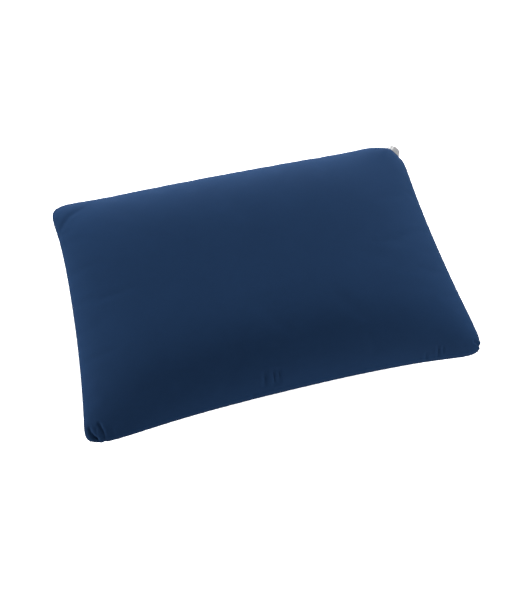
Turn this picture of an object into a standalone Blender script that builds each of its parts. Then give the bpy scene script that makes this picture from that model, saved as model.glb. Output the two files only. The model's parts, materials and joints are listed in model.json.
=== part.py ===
"""Self-inflating camp pillow: foam core in a welded bladder, stretch-knit cover, twist valve.

Metres, +Z up. The origin is the centre of the flat resting face, +X runs along the long
side and +Y points to the long edge that holds the zip. The valve leaves the +X +Y corner.
"""

import math

import bmesh
import bpy
from mathutils import Matrix, Vector
from mathutils.bvhtree import BVHTree

# ---- Pillow shape -------------------------------------------------------------------
HALF_LENGTH = 0.230
HALF_WIDTH = 0.1545
SEAM_HEIGHT = 0.055
CORNER_SEAM_HEIGHT = 0.048
TOP_RISE = 0.048            # crown above the seam
BOTTOM_DROP = 0.062         # belly below the seam, before the floor flattens it
LENGTH_CROWN_POWER = 2.55   # how flat the crown stays along the length
WIDTH_CROWN_POWER = 4.0     # and across the width
EDGE_POWER = 0.68           # how blunt the long and short edges are
VALVE_EDGE_POWER = 0.5      # the valve corner is blunter
VALVE_CORNER_SPREAD = 0.062
OUTLINE_SQUARENESS = 15.0   # superellipse power that rounds the corners
PULL_LEFT = 0.010           # how far each side draws in between its corners
PULL_RIGHT = 0.009
PULL_FRONT = 0.012
PULL_BACK = 0.006
PULL_POWER = 2.3
BACK_PULL_POWER = 4.0       # keeps the zip edge nearly straight
EAR = 0.0021                # the -X +Y corner stands out a little
EAR_SPREAD = 0.030
TUCK = 0.0100               # how far the cover draws back round the valve
TUCK_WIDTH = (0.0150, 0.032) # half width of that, at the seam and higher up
TUCK_HEIGHT = (0.006, 0.020)
TUCK_LENGTH = 0.035
STATION_CROWDING = 1.9      # grid lines crowd towards the edges
STATIONS_FRONT = 8          # grid lines on the -X and -Y halves
STATIONS_RIGHT = 13         # more towards the valve
STATIONS_BACK = 11
RIM_SAMPLES = 200           # outline points tried when the valve corner's tip is found
CORNER_START = 150          # first of those that lies near the corner
SMOOTH_ANGLE = math.radians(35)

# ---- Fabric layers ------------------------------------------------------------------
COVER_THICKNESS = 0.0012
COVER_WALL = 0.0015         # the same fabric, measured level at the seam
SEAM_GAP = 0.00015          # half the gap between the two panels
LAYER_GAP = 0.0006
SHEET_THICKNESS = 0.0008
FLANGE_INSET = 0.0063
FLANGE_WIDTH = 0.0040
FOAM_GAP = 0.0018
FOAM_EDGE = 0.00015
OVERLOCK_OUTER = 0.0040
OVERLOCK_INNER = 0.0058
OVERLOCK_OUTER_HALF = 0.0003
OVERLOCK_INNER_HALF = 0.0006
OVERLOCK_VALVE_U = 0.860    # the overlock stops here on both sides of the valve port
OVERLOCK_VALVE_V = 0.79
LABEL_ENDS = (-0.160, -0.130)
LABEL_LINE = ((0.0034, 0.0034), (0.0100, 0.0110), (0.0158, 0.0190))  # inset, drop
LABEL_THICKNESS = 0.0004
LABEL_DROP = 0.0002         # its two faces are this far apart in height

# ---- Zip ----------------------------------------------------------------------------
ZIP_HALF = 0.110
ZIP_DROP = 0.0065           # zip centre line below the seam
ZIP_FACE_INSET = 0.0046     # tape's outer face inside the back edge
SLOT_BELOW = 0.0123         # lower edge of the slot below the seam
SLOT_END = 0.003
SLOT_CUT_HALF = 0.012       # the slot cutter's reach across the fabric
TAPE_THICKNESS = 0.0007
TAPE_EDGE = 0.0007          # tape edge from the centre line
TAPE_RISE = 0.005           # the upper tape ends this far above the seam
TAPE_KNEE = ((0.0, 0.0039), (0.0032, 0.0056), (0.0072, 0.0120))  # lower tape: inset, drop
TAPE_SLANT = 0.0002
COIL_SIDES = 8
COIL_RADIUS = 0.0010
COIL_CENTRE = 0.0017
COIL_LIFT = 0.0003          # clearance between coil and tape
SLIDER_HALF_LENGTH = 0.0045
SLIDER_HALF_HEIGHT = 0.0036
SLIDER_PLATE = 0.0009
SLIDER_POST_HALF = 0.0004
SLIDER_REST_X = 0.099
STOP_LENGTH = 0.003
STOP_BEVEL = 0.0004
BAIL_HALF_LENGTH = 0.0030
BAIL_THICKNESS = 0.0010
BAIL_HALF_WIDTH = 0.0006
BAIL_ROOM = 0.0008          # from the hinge to the inside of the bail
BAIL_CHAMFER = 0.0004
HINGE_LIFT = 0.0021         # pull-tab hinge above the slider plate, so the tab clears the knit
TAB_HALF_THICKNESS = 0.0005
TAB_LENGTH = 0.0220
TAB_HALF_WIDTH = 0.0034
TAB_CHAMFER = 0.0015
TAB_NECK_HALF_WIDTH = 0.0026
TAB_NECK_END = 0.0045
TAB_SHOULDER = 0.0075
TAB_EYE_START = 0.0005
TAB_EYE_END = 0.0046
TAB_EYE_HALF_WIDTH = 0.0010
TAB_CUT_HALF = 0.002

# ---- Valve, along its own axis: 0 is the tip of the corner, outward is positive -----
VALVE_DIRECTION = math.radians(45)
CLEARANCE = 0.0003
FINE_SEGMENTS = 24
COARSE_SEGMENTS = 16

KNOB_RADIUS = 0.0100
KNOB_FACE = 0.0003
KNOB_MOUTH = -0.0157
KNOB_BORE = 0.0066
FACE_THICKNESS = 0.0018
FACE_BEVEL = 0.0018         # rounding from the face to the grip
FACE_BEVEL_STEP = 0.0006
MOUTH_BEVEL = 0.0010
MOUTH_LIP = 0.0009
MOUTH_HOLE = 0.0026
LEDGE_RADIUS = 0.0059       # ledge that holds the free seal washer
LEDGE_INNER = -0.0035
LEDGE_OUTER = -0.0029
FLUTES = 12
FLUTE_DEPTH = 0.0004
FLUTED_SHARE = 0.9          # radii above this share of the knob's are fluted

STEM_RADIUS = 0.0052
STEM_BORE = 0.0038
STEM_END = -0.0046
STEM_BEVEL = 0.0004
STEM_FLOOR = 0.0020         # solid end of the stem's bore
COLLAR_RADIUS = 0.0077
COLLAR_DEPTH = 0.0030       # how far the collar sinks into the weld insert
COLLAR_RISE = 0.0012
THREAD_LEAD = 0.0025
THREAD_TURNS = 1.2
THREAD_SEGMENTS = 18
THREAD_START = -0.0086
THREAD_PHASE = math.radians(4)
THREAD_ROOT_HALF = 0.00045
THREAD_CREST_HALF = 0.00025
THREAD_SINK = 0.0003        # how far each rib is rooted in its wall
THREAD_CREST = 0.0062
KNOB_THREAD_CREST = 0.0056

ORING_AT = -0.0116
ORING_MAJOR = 0.00555
ORING_MINOR = 0.0006
ORING_SIDES = 8
GROOVE_DEPTH = 0.0006
GROOVE_ROOM = 0.0001
PLUG_ROD = 0.0013
PLUG_ROOT = 0.0020          # below the O-ring's plane
PLUG_INNER = -0.0039
PLUG_OUTER = -0.0029
PLUG_TIP = -0.0020
PLUG_TIP_RADIUS = 0.0019
BAR_HALF_WIDTH = 0.0005
BAR_BELOW = 0.0015
BAR_ABOVE = 0.0010
SEAL_RADII = (0.0022, 0.0036)
SEAL_HEIGHTS = (-0.0026, -0.0018)
SEAL_BEVEL = 0.0001
WASHER_RADII = (0.0043, 0.0063)
WASHER_HEIGHTS = (-0.0026, -0.0018)

BOAT_OUTER = -0.0175
BOAT_INNER = -0.0310
BOAT_HALF_WIDTH = 0.0170
BOAT_HALF_HEIGHT = 0.0085
BOAT_TIP_HALF = 0.0008
BOAT_STEPS = 8
BOAT_GAP = 0.0004           # from the weld insert to the sheets
BOAT_SEAT_END = 0.001
TRIM_HALF = (0.07, 0.04)    # cutter that trims the bladder's corner
TRIM_END = 0.03
NOTCH_HALF = (0.09, 0.06)   # cutter that cuts the foam back behind the insert
NOTCH_END = 0.04
NOTCH_GAP = 0.002

PORT_RADIUS = 0.0122
PORT_SEGMENTS = 32
PORT_CUT = (-0.0225, 0.012)
BINDING_RADIUS = 0.0012
BINDING_STEPS = 32
BINDING_SIDES = 8
PROBE_START = 0.05          # outside the corner, where the binding's probes start

COVER_BLUE = (0.012, 0.038, 0.100)
SHEET_GREY = (0.10, 0.12, 0.15)
FOAM_YELLOW = (0.72, 0.66, 0.42)
VALVE_GREY = (0.52, 0.53, 0.54)
RUBBER_DARK = (0.03, 0.03, 0.035)
METAL_DARK = (0.06, 0.065, 0.075)
LABEL_WHITE = (0.80, 0.80, 0.78)


# ---- Materials and objects ----------------------------------------------------------
def material(name, colour, roughness, metallic=0.0):
    """One Principled material."""
    made = bpy.data.materials.new(name)
    made.use_nodes = True
    shader = made.node_tree.nodes["Principled BSDF"]
    shader.inputs["Base Color"].default_value = (*colour, 1.0)
    shader.inputs["Roughness"].default_value = roughness
    shader.inputs["Metallic"].default_value = metallic
    return made


def add_object(name, bm, colour=None, roughness=0.8, metallic=0.0, parent=None):
    """Turns a bmesh into a named object with its own material."""
    bmesh.ops.recalc_face_normals(bm, faces=bm.faces)
    mesh = bpy.data.meshes.new(name)
    bm.to_mesh(mesh)
    bm.free()
    mesh.shade_smooth()
    mesh.set_sharp_from_angle(angle=SMOOTH_ANGLE)
    made = bpy.data.objects.new(name, mesh)
    bpy.context.scene.collection.objects.link(made)
    made.parent = parent
    if colour is None:
        made.hide_render = True
        made.display_type = "WIRE"
    else:
        mesh.materials.append(material(name, colour, roughness, metallic))
    return made


def add_empty(name, location, matrix=None):
    """An empty that carries the pieces on one axis."""
    made = bpy.data.objects.new(name, None)
    bpy.context.scene.collection.objects.link(made)
    made.matrix_world = Matrix.Translation(location) @ (matrix or Matrix())
    return made


def boolean(target, operation, other):
    """Adds one exact Boolean to a piece."""
    step = target.modifiers.new(operation.lower(), "BOOLEAN")
    step.operation = operation
    step.solver = "EXACT"
    step.object = other


# ---- Mesh makers --------------------------------------------------------------------
def box(low, high):
    """An axis-aligned box."""
    bm = bmesh.new()
    size = [b - a for a, b in zip(low, high)]
    middle = [(a + b) / 2 for a, b in zip(low, high)]
    bmesh.ops.create_cube(bm, size=1.0)
    bmesh.ops.scale(bm, vec=size, verts=bm.verts)
    bmesh.ops.translate(bm, vec=middle, verts=bm.verts)
    return bm


def prism(outline, place):
    """Extrudes a closed outline; place(point, end) gives its 3-D position at end 0 or 1."""
    bm = bmesh.new()
    ends = [[bm.verts.new(place(point, end)) for point in outline] for end in (0, 1)]
    bm.faces.new(ends[0])
    bm.faces.new(ends[1])
    count = len(outline)
    for k in range(count):
        after = (k + 1) % count
        bm.faces.new((ends[0][k], ends[0][after], ends[1][after], ends[1][k]))
    return bm


def sweep(sections, closed=False):
    """Joins equal rings of points into a tube, capped at both ends unless it closes."""
    bm = bmesh.new()
    rings = [[bm.verts.new(point) for point in section] for section in sections]
    count = len(rings[0])
    spans = len(rings) if closed else len(rings) - 1
    for i in range(spans):
        ring, following = rings[i], rings[(i + 1) % len(rings)]
        for k in range(count):
            after = (k + 1) % count
            bm.faces.new((ring[k], ring[after], following[after], following[k]))
    if not closed:
        bm.faces.new(rings[0])
        bm.faces.new(rings[-1])
    return bm


def lathe(profile, segments, wave=None):
    """Turns (radius, height) points about Z; a profile that leaves the axis is a closed ring."""
    bm = bmesh.new()
    rings = []
    for radius, height in profile:
        if radius == 0:
            rings.append([bm.verts.new((0, 0, height))])
            continue
        ring = []
        for k in range(segments):
            angle = 2 * math.pi * k / segments
            r = wave(radius, angle) if wave else radius
            ring.append(bm.verts.new((r * math.cos(angle), r * math.sin(angle), height)))
        rings.append(ring)
    pairs = list(zip(rings, rings[1:]))
    if profile[0][0] > 0:
        pairs.append((rings[-1], rings[0]))
    for ring, following in pairs:
        for k in range(segments):
            after = (k + 1) % segments
            corners = [ring[k % len(ring)], ring[after % len(ring)],
                       following[after % len(following)], following[k % len(following)]]
            bm.faces.new(list(dict.fromkeys(corners)))
    return bm


def layer(outer, inner):
    """A closed solid between two equal grids of points that face each other."""
    bm = bmesh.new()
    rows, columns = len(outer), len(outer[0])
    sides = [[[bm.verts.new(point) for point in row] for row in grid] for grid in (outer, inner)]
    for grid in sides:
        for i in range(rows - 1):
            for j in range(columns - 1):
                a, b = grid[i][j], grid[i + 1][j]
                c, d = grid[i + 1][j + 1], grid[i][j + 1]
                rising = (2 * i < rows - 1) == (2 * j < columns - 1)
                for corners in ((a, b, c), (a, c, d)) if rising else ((a, b, d), (b, c, d)):
                    bm.faces.new(corners)
    edge = [(i, 0) for i in range(rows)]
    edge += [(rows - 1, j) for j in range(1, columns)]
    edge += [(i, columns - 1) for i in range(rows - 2, -1, -1)]
    edge += [(0, j) for j in range(columns - 2, 0, -1)]
    for (i, j), (m, n) in zip(edge, edge[1:] + edge[:1]):
        bm.faces.new((sides[0][i][j], sides[0][m][n], sides[1][m][n], sides[1][i][j]))
    return bm


# ---- The pillow's surface -----------------------------------------------------------
def stations(before, after):
    """Grid lines from -1 to 1, crowded towards both ends."""
    low = [(k / before) ** STATION_CROWDING - 1 for k in range(before)]
    high = [1 - (k / after) ** STATION_CROWDING for k in range(after, -1, -1)]
    return low + high


def plan_point(u, v, inset):
    """Plan position of (u, v); the outline, drawn in by inset, is where |u| or |v| is 1."""
    rounding = (1 + abs(u * v) ** OUTLINE_SQUARENESS) ** (1 / OUTLINE_SQUARENESS)
    ru = u / rounding
    rv = v / rounding
    side_pull = (PULL_RIGHT if ru > 0 else PULL_LEFT) * (1 - abs(rv) ** PULL_POWER)
    if rv > 0:
        end_pull = PULL_BACK * (1 - abs(ru) ** BACK_PULL_POWER)
    else:
        end_pull = PULL_FRONT * (1 - abs(ru) ** PULL_POWER)
    x = ru * (HALF_LENGTH - inset) - math.copysign(ru * ru * side_pull, ru)
    y = rv * (HALF_WIDTH - inset) - math.copysign(rv * rv * end_pull, rv)
    from_ear = math.hypot((1 + u) * HALF_LENGTH, (1 - v) * HALF_WIDTH) / EAR_SPREAD
    ear = EAR * math.exp(-from_ear * from_ear)
    return x - ear, y + ear


def seam_height(u, v):
    """The seam dips a little towards the corners."""
    return SEAM_HEIGHT + (CORNER_SEAM_HEIGHT - SEAM_HEIGHT) * u ** 4 * v ** 4


def crown(u, v):
    """Fullness, 0 on the outline and 1 in the middle, blunter at the valve corner."""
    a = 1 - abs(u) ** LENGTH_CROWN_POWER
    b = 1 - abs(v) ** WIDTH_CROWN_POWER
    if a <= 0 or b <= 0:
        return 0.0
    plain = (a * b) ** EDGE_POWER
    blunt = (a * b / math.hypot(a, b)) ** VALVE_EDGE_POWER
    away = math.hypot((1 - u) * HALF_LENGTH, (1 - v) * HALF_WIDTH) / VALVE_CORNER_SPREAD
    return plain + (blunt - plain) * math.exp(-away * away)


def surface_point(u, v, side, inset, reduction, edge, floor=0.0):
    """A point of a nested skin: inset in plan, lower than the outside by reduction."""
    x, y = plan_point(u, v, inset)
    fullness = crown(u, v)
    if side > 0:
        z = seam_height(u, v) + edge + (TOP_RISE - reduction - edge) * fullness
    else:
        z = seam_height(u, v) - edge - (BOTTOM_DROP - reduction - edge) * fullness
        z = max(z, floor)
    return Vector((x, y, z))


def skin(us, vs, side, inset, reduction, edge, floor=0.0, flange_inset=None):
    """A grid of surface points, with one more ring for a flat flange where asked."""
    if flange_inset is not None:
        us = [us[0]] + us + [us[-1]]
        vs = [vs[0]] + vs + [vs[-1]]
    last_u, last_v = len(us) - 1, len(vs) - 1
    grid = []
    for i, u in enumerate(us):
        row = []
        for j, v in enumerate(vs):
            on_rim = flange_inset is not None and (i in (0, last_u) or j in (0, last_v))
            here = flange_inset if on_rim else inset
            row.append(surface_point(u, v, side, here, reduction, edge, floor))
        grid.append(row)
    return grid


def back_edge(inset):
    """Y of the outline at the middle of the zip edge."""
    return plan_point(0.0, 1.0, inset)[1]


# ---- Valve frame --------------------------------------------------------------------
def valve_frame():
    """The corner's tip and a matrix whose Z is the valve's outward axis."""
    outward = Vector((math.cos(VALVE_DIRECTION), math.sin(VALVE_DIRECTION), 0))
    near = [k / RIM_SAMPLES for k in range(CORNER_START, RIM_SAMPLES + 1)]
    rim = [(1.0, share) for share in near] + [(share, 1.0) for share in near[:-1]]
    points = [Vector((*plan_point(u, v, 0.0), 0)) for u, v in rim]
    reach = max(point.dot(outward) for point in points)
    tip = max(points, key=lambda point: point.dot(outward))
    across = Vector((-outward.y, outward.x, 0))
    tip = outward * reach + across * tip.dot(across)
    tip.z = CORNER_SEAM_HEIGHT
    turn = Matrix((across, Vector((0, 0, 1)), outward)).transposed().to_4x4()
    return tip, turn


def tuck_in(point, valve_tip):
    """Draws a point of the cover back along the valve's axis, near the valve corner."""
    outward = Vector((math.cos(VALVE_DIRECTION), math.sin(VALVE_DIRECTION), 0))
    offset = point - valve_tip
    along = offset.dot(outward)
    across = -offset.x * outward.y + offset.y * outward.x
    low, high = TUCK_HEIGHT
    rise = min(max((abs(offset.z) - low) / (high - low), 0), 1)
    rise = rise * rise * (3 - 2 * rise)
    width = TUCK_WIDTH[0] + (TUCK_WIDTH[1] - TUCK_WIDTH[0]) * rise
    behind = min(along, 0) / TUCK_LENGTH
    return point - outward * TUCK * math.exp(-(across / width) ** 2 - behind * behind)


# ---- Cover --------------------------------------------------------------------------
US = stations(STATIONS_FRONT, STATIONS_RIGHT)
VS = stations(STATIONS_FRONT, STATIONS_BACK)


def knit_skin(side, inset, reduction, floor=0.0):
    """Points of the knit, drawn back round the valve."""
    tip = valve_frame()[0]
    plain = skin(US, VS, side, inset, reduction, SEAM_GAP, floor)
    return [[tuck_in(point, tip) for point in row] for row in plain]


def cover_panel(name, side):
    """One knit panel: outer face, inner face and the rim at the seam."""
    outer = knit_skin(side, 0.0, 0.0)
    inner = knit_skin(side, COVER_WALL, COVER_THICKNESS, COVER_THICKNESS)
    return add_object(name, layer(outer, inner), COVER_BLUE, 0.75)


def cut_cover(top, bottom, valve):
    """Opens the zip slot in the bottom panel and the valve port in both."""
    y = back_edge(0.0)
    slot = add_object("slot_cutter", box(
        (-ZIP_HALF - SLOT_END, y - SLOT_CUT_HALF, SEAM_HEIGHT - SLOT_BELOW),
        (ZIP_HALF + SLOT_END, y + SLOT_CUT_HALF, SEAM_HEIGHT + SEAM_GAP)))
    radius = PORT_RADIUS + BINDING_RADIUS + CLEARANCE
    inner, outer = PORT_CUT
    profile = [(0, inner), (radius, inner), (radius, outer), (0, outer)]
    port = add_object("port_cutter", lathe(profile, PORT_SEGMENTS), parent=valve)
    boolean(bottom, "DIFFERENCE", slot)
    boolean(bottom, "DIFFERENCE", port)
    boolean(top, "DIFFERENCE", port)


def knit_tree(side):
    """Search tree over one panel's outer face."""
    grid = knit_skin(side, 0.0, 0.0)
    columns = len(VS)
    points = [point for row in grid for point in row]
    faces = []
    for i in range(len(US) - 1):
        for j in range(columns - 1):
            a = i * columns + j
            faces.append((a, a + columns, a + columns + 1, a + 1))
    return BVHTree.FromPolygons(points, faces)


def port_binding(valve):
    """Elastic binding round the port: a cord that follows the knit's surface."""
    trees = [knit_tree(1), knit_tree(-1)]
    inward = -valve.matrix_world.to_3x3().col[2]
    sections = []
    for k in range(BINDING_STEPS):
        angle = 2 * math.pi * (k + 0.5) / BINDING_STEPS
        cosine, sine = math.cos(angle), math.sin(angle)
        start = Vector((PORT_RADIUS * cosine, PORT_RADIUS * sine, PROBE_START))
        origin = valve.matrix_world @ start
        found = [tree.ray_cast(origin, inward)[3] for tree in trees]
        depth = min(distance for distance in found if distance is not None)
        section = []
        for m in range(BINDING_SIDES):
            turn = 2 * math.pi * m / BINDING_SIDES
            radius = PORT_RADIUS + BINDING_RADIUS * math.cos(turn)
            height = PROBE_START - depth + BINDING_RADIUS * math.sin(turn)
            section.append((radius * cosine, radius * sine, height))
        sections.append(section)
    add_object("valve_port_binding", sweep(sections, closed=True), COVER_BLUE, 0.7, parent=valve)


def overlock(name, path):
    """Overlocked seam allowance along a run of outline positions."""
    sections = []
    for u, v in path:
        z = seam_height(u, v)
        outer = plan_point(u, v, OVERLOCK_OUTER)
        inner = plan_point(u, v, OVERLOCK_INNER)
        sections.append([
            (*outer, z - OVERLOCK_OUTER_HALF), (*inner, z - OVERLOCK_INNER_HALF),
            (*inner, z + OVERLOCK_INNER_HALF), (*outer, z + OVERLOCK_OUTER_HALF)])
    add_object(name, sweep(sections), COVER_BLUE, 0.85)


def build_seams():
    """Two overlocked runs: valve to zip, and zip round the other sides to the valve."""
    zip_end = (ZIP_HALF + 2 * SLOT_END) / HALF_LENGTH
    between = [(u, 1.0) for u in reversed(US) if zip_end < u < OVERLOCK_VALVE_U]
    ends = [(OVERLOCK_VALVE_U, 1.0), (zip_end, 1.0)]
    overlock("seam_overlock_valve_side", ends[:1] + between + ends[1:])
    path = [(-zip_end, 1.0)]
    path += [(u, 1.0) for u in reversed(US) if -1 < u < -zip_end]
    path += [(-1.0, v) for v in reversed(VS)]
    path += [(u, -1.0) for u in US[1:]]
    path += [(1.0, v) for v in VS[1:] if v < OVERLOCK_VALVE_V] + [(1.0, OVERLOCK_VALVE_V)]
    overlock("seam_overlock_main", path)


def care_label():
    """Blank woven label hanging inside the cover beside the zip."""
    y = back_edge(0.0)
    outline = [(y - inset, SEAM_HEIGHT - drop) for inset, drop in LABEL_LINE]
    outline += [(y - inset - LABEL_THICKNESS, SEAM_HEIGHT - drop - LABEL_DROP)
                for inset, drop in reversed(LABEL_LINE)]
    bm = prism(outline, lambda point, end: (LABEL_ENDS[end], *point))
    add_object("care_label", bm, LABEL_WHITE, 0.6)


# ---- Zip ----------------------------------------------------------------------------
def along_zip(outline, half_length):
    """Extrudes a (y, z) outline along the zip."""
    ends = (-half_length, half_length)
    return prism(outline, lambda point, end: (ends[end], *point))


def build_zip():
    """Tapes, coils and stops lie straight behind the slot."""
    face = back_edge(0.0) - ZIP_FACE_INSET
    back = face - TAPE_THICKNESS
    centre = SEAM_HEIGHT - ZIP_DROP
    upper = [(face, centre + TAPE_EDGE), (face, SEAM_HEIGHT + TAPE_RISE),
             (back, SEAM_HEIGHT + TAPE_RISE), (back, centre + TAPE_EDGE)]
    add_object("zip_tape_upper", along_zip(upper, ZIP_HALF), COVER_BLUE, 0.8)
    bend = ((0.0, TAPE_EDGE), *TAPE_KNEE)
    lower = [(face - inset, centre - drop) for inset, drop in bend]
    lower += [(back - inset, centre - drop - TAPE_SLANT) for inset, drop in reversed(bend[2:])]
    lower += [(back - inset, centre - drop) for inset, drop in reversed(bend[:2])]
    add_object("zip_tape_lower", along_zip(lower, ZIP_HALF), COVER_BLUE, 0.8)
    coil_y = face + COIL_LIFT + COIL_RADIUS
    for name, sign in (("zip_coil_upper", 1), ("zip_coil_lower", -1)):
        outline = []
        for k in range(COIL_SIDES):
            angle = 2 * math.pi * (k + 0.5) / COIL_SIDES
            outline.append((coil_y + COIL_RADIUS * math.cos(angle),
                            centre + sign * COIL_CENTRE + COIL_RADIUS * math.sin(angle)))
        length = ZIP_HALF - STOP_LENGTH - CLEARANCE
        add_object(name, along_zip(outline, length), COVER_BLUE, 0.5)
    half = COIL_CENTRE + COIL_RADIUS
    for name, x in (("zip_stop_left", -ZIP_HALF), ("zip_stop_right", ZIP_HALF - STOP_LENGTH)):
        low = (x, face + COIL_LIFT, centre - half)
        high = (x + STOP_LENGTH, face + COIL_LIFT + 2 * COIL_RADIUS, centre + half)
        bm = box(low, high)
        bmesh.ops.bevel(bm, geom=bm.edges[:], offset=STOP_BEVEL, segments=1,
                          affect="EDGES")
        add_object(name, bm, METAL_DARK, 0.4, 0.8)
    build_slider(face, back, centre)


def build_slider(face, back, centre):
    """Slider: two plates, the post between the coils and a bail; the tab hangs on the bail."""
    under = back - CLEARANCE
    over = face + COIL_LIFT + 2 * COIL_RADIUS + CLEARANCE
    top = over + SLIDER_PLATE
    tall = SLIDER_HALF_HEIGHT
    post = SLIDER_POST_HALF
    half = [(under - SLIDER_PLATE, tall), (under, tall), (under, post), (over, post),
            (over, tall), (top, tall)]
    outline = half + [(y, -z) for y, z in reversed(half)]
    ends = (-SLIDER_HALF_LENGTH, SLIDER_HALF_LENGTH)
    hinge_y = top + HINGE_LIFT
    carrier = add_empty("zip_slider_origin", (SLIDER_REST_X, hinge_y, centre))
    bm = prism(outline, lambda point, end: (ends[end], point[0] - hinge_y, point[1]))
    slider = add_object("zip_slider", bm, METAL_DARK, 0.35, 0.85, carrier)
    foot = BAIL_HALF_LENGTH
    crest = BAIL_ROOM + BAIL_THICKNESS
    inside = foot - BAIL_THICKNESS
    sunk = -HINGE_LIFT - SLIDER_PLATE / 2
    shoulder = crest - BAIL_CHAMFER
    flat = foot - BAIL_CHAMFER
    arch = [(-foot, sunk), (-foot, shoulder), (-flat, crest), (flat, crest), (foot, shoulder),
            (foot, sunk), (inside, sunk), (inside, BAIL_ROOM), (-inside, BAIL_ROOM),
            (-inside, sunk)]
    width = (-BAIL_HALF_WIDTH, BAIL_HALF_WIDTH)
    bail = add_object("bail_shape", prism(arch, lambda p, end: (p[0], p[1], width[end])),
                      parent=carrier)
    boolean(slider, "UNION", bail)
    build_pull_tab(carrier)


def build_pull_tab(carrier):
    """Pull tab lying flat towards -X, its eye round the bail, turning about local Z."""
    thick = TAB_HALF_THICKNESS
    wide = TAB_HALF_WIDTH
    narrow = TAB_NECK_HALF_WIDTH
    upper = [(TAB_EYE_START, narrow), (-TAB_NECK_END, narrow), (-TAB_SHOULDER, wide),
             (-TAB_LENGTH + TAB_CHAMFER, wide), (-TAB_LENGTH, wide - TAB_CHAMFER)]
    outline = upper + [(x, -z) for x, z in reversed(upper)]
    ends = (-thick, thick)
    bm = prism(outline, lambda p, end: (p[0], ends[end], p[1]))
    tab = add_object("zip_pull_tab", bm, METAL_DARK, 0.4, 0.8, carrier)
    eye = box((-TAB_EYE_END, -TAB_CUT_HALF, -TAB_EYE_HALF_WIDTH),
              (-TAB_EYE_START, TAB_CUT_HALF, TAB_EYE_HALF_WIDTH))
    boolean(tab, "DIFFERENCE", add_object("eye_cutter", eye, parent=carrier))


# ---- Bladder and foam ---------------------------------------------------------------
def build_bladder(valve):
    """Two coated sheets with a flat weld flange, trimmed across the valve corner."""
    wall = COVER_THICKNESS + LAYER_GAP
    crown_inset = FLANGE_INSET + FLANGE_WIDTH
    edge = SEAM_GAP + SHEET_THICKNESS
    width, height = TRIM_HALF
    corner = box((-width, -height, BOAT_OUTER - BOAT_GAP), (width, height, TRIM_END))
    trim = add_object("corner_trim", corner, parent=valve)
    boat = boat_prism(BOAT_GAP, BOAT_INNER - BOAT_SEAT_END, 0.0)
    seat = add_object("boat_seat", boat, parent=valve)
    for name, side in (("bladder_top_sheet", 1), ("bladder_bottom_sheet", -1)):
        outer = skin(US, VS, side, crown_inset, wall, edge, wall, FLANGE_INSET)
        inner = skin(US, VS, side, crown_inset + SHEET_THICKNESS,
                     wall + SHEET_THICKNESS, SEAM_GAP, wall + SHEET_THICKNESS, FLANGE_INSET)
        sheet = add_object(name, layer(outer, inner), SHEET_GREY, 0.5)
        boolean(sheet, "DIFFERENCE", trim)
        boolean(sheet, "DIFFERENCE", seat)


def build_foam(valve):
    """Open-cell foam core that fills the bladder, cut back behind the valve."""
    inset = FLANGE_INSET + FLANGE_WIDTH + SHEET_THICKNESS + FOAM_GAP
    depth = COVER_THICKNESS + LAYER_GAP + SHEET_THICKNESS + LAYER_GAP
    top = skin(US, VS, 1, inset, depth, FOAM_EDGE)
    bottom = skin(US, VS, -1, inset, depth, FOAM_EDGE, depth)
    foam = add_object("foam_core", layer(top, bottom), FOAM_YELLOW, 0.95)
    width, height = NOTCH_HALF
    notch = box((-width, -height, BOAT_INNER - NOTCH_GAP), (width, height, NOTCH_END))
    boolean(foam, "DIFFERENCE", add_object("foam_notch", notch, parent=valve))


# ---- Valve --------------------------------------------------------------------------
def boat_prism(grow, inner, outer):
    """Boat-shaped weld insert: thick in the middle, thin at both tips."""
    upper = []
    for k in range(BOAT_STEPS + 1):
        across = 2 * k / BOAT_STEPS - 1
        height = BOAT_TIP_HALF + (BOAT_HALF_HEIGHT - BOAT_TIP_HALF) * (1 - across * across)
        upper.append((across * (BOAT_HALF_WIDTH + grow), height + grow))
    outline = upper + [(x, -y) for x, y in reversed(upper)]
    ends = (inner, outer)
    return prism(outline, lambda point, end: (*point, ends[end]))


def thread(root, crest, start):
    """Helical rib from root radius to crest radius, right-handed about the valve axis."""
    wide = THREAD_ROOT_HALF
    narrow = THREAD_CREST_HALF
    corners = ((root, -wide), (crest, -narrow), (crest, narrow), (root, wide))
    sections = []
    for k in range(int(THREAD_TURNS * THREAD_SEGMENTS) + 1):
        angle = THREAD_PHASE + 2 * math.pi * k / THREAD_SEGMENTS
        height = start + THREAD_LEAD * k / THREAD_SEGMENTS
        sections.append([(r * math.cos(angle), r * math.sin(angle), height + h)
                         for r, h in corners])
    return sweep(sections)


def stem_profile():
    """Turned stem with its collar, O-ring groove and rounded end."""
    groove = ORING_MINOR + GROOVE_ROOM
    waist = STEM_RADIUS - GROOVE_DEPTH
    return [(0, BOAT_OUTER - COLLAR_DEPTH), (COLLAR_RADIUS, BOAT_OUTER - COLLAR_DEPTH),
            (COLLAR_RADIUS, BOAT_OUTER + COLLAR_RISE), (STEM_RADIUS, BOAT_OUTER + COLLAR_RISE),
            (STEM_RADIUS, ORING_AT - groove), (waist, ORING_AT - groove),
            (waist, ORING_AT + groove), (STEM_RADIUS, ORING_AT + groove),
            (STEM_RADIUS, STEM_END - STEM_BEVEL), (STEM_RADIUS - STEM_BEVEL, STEM_END),
            (0, STEM_END)]


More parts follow.
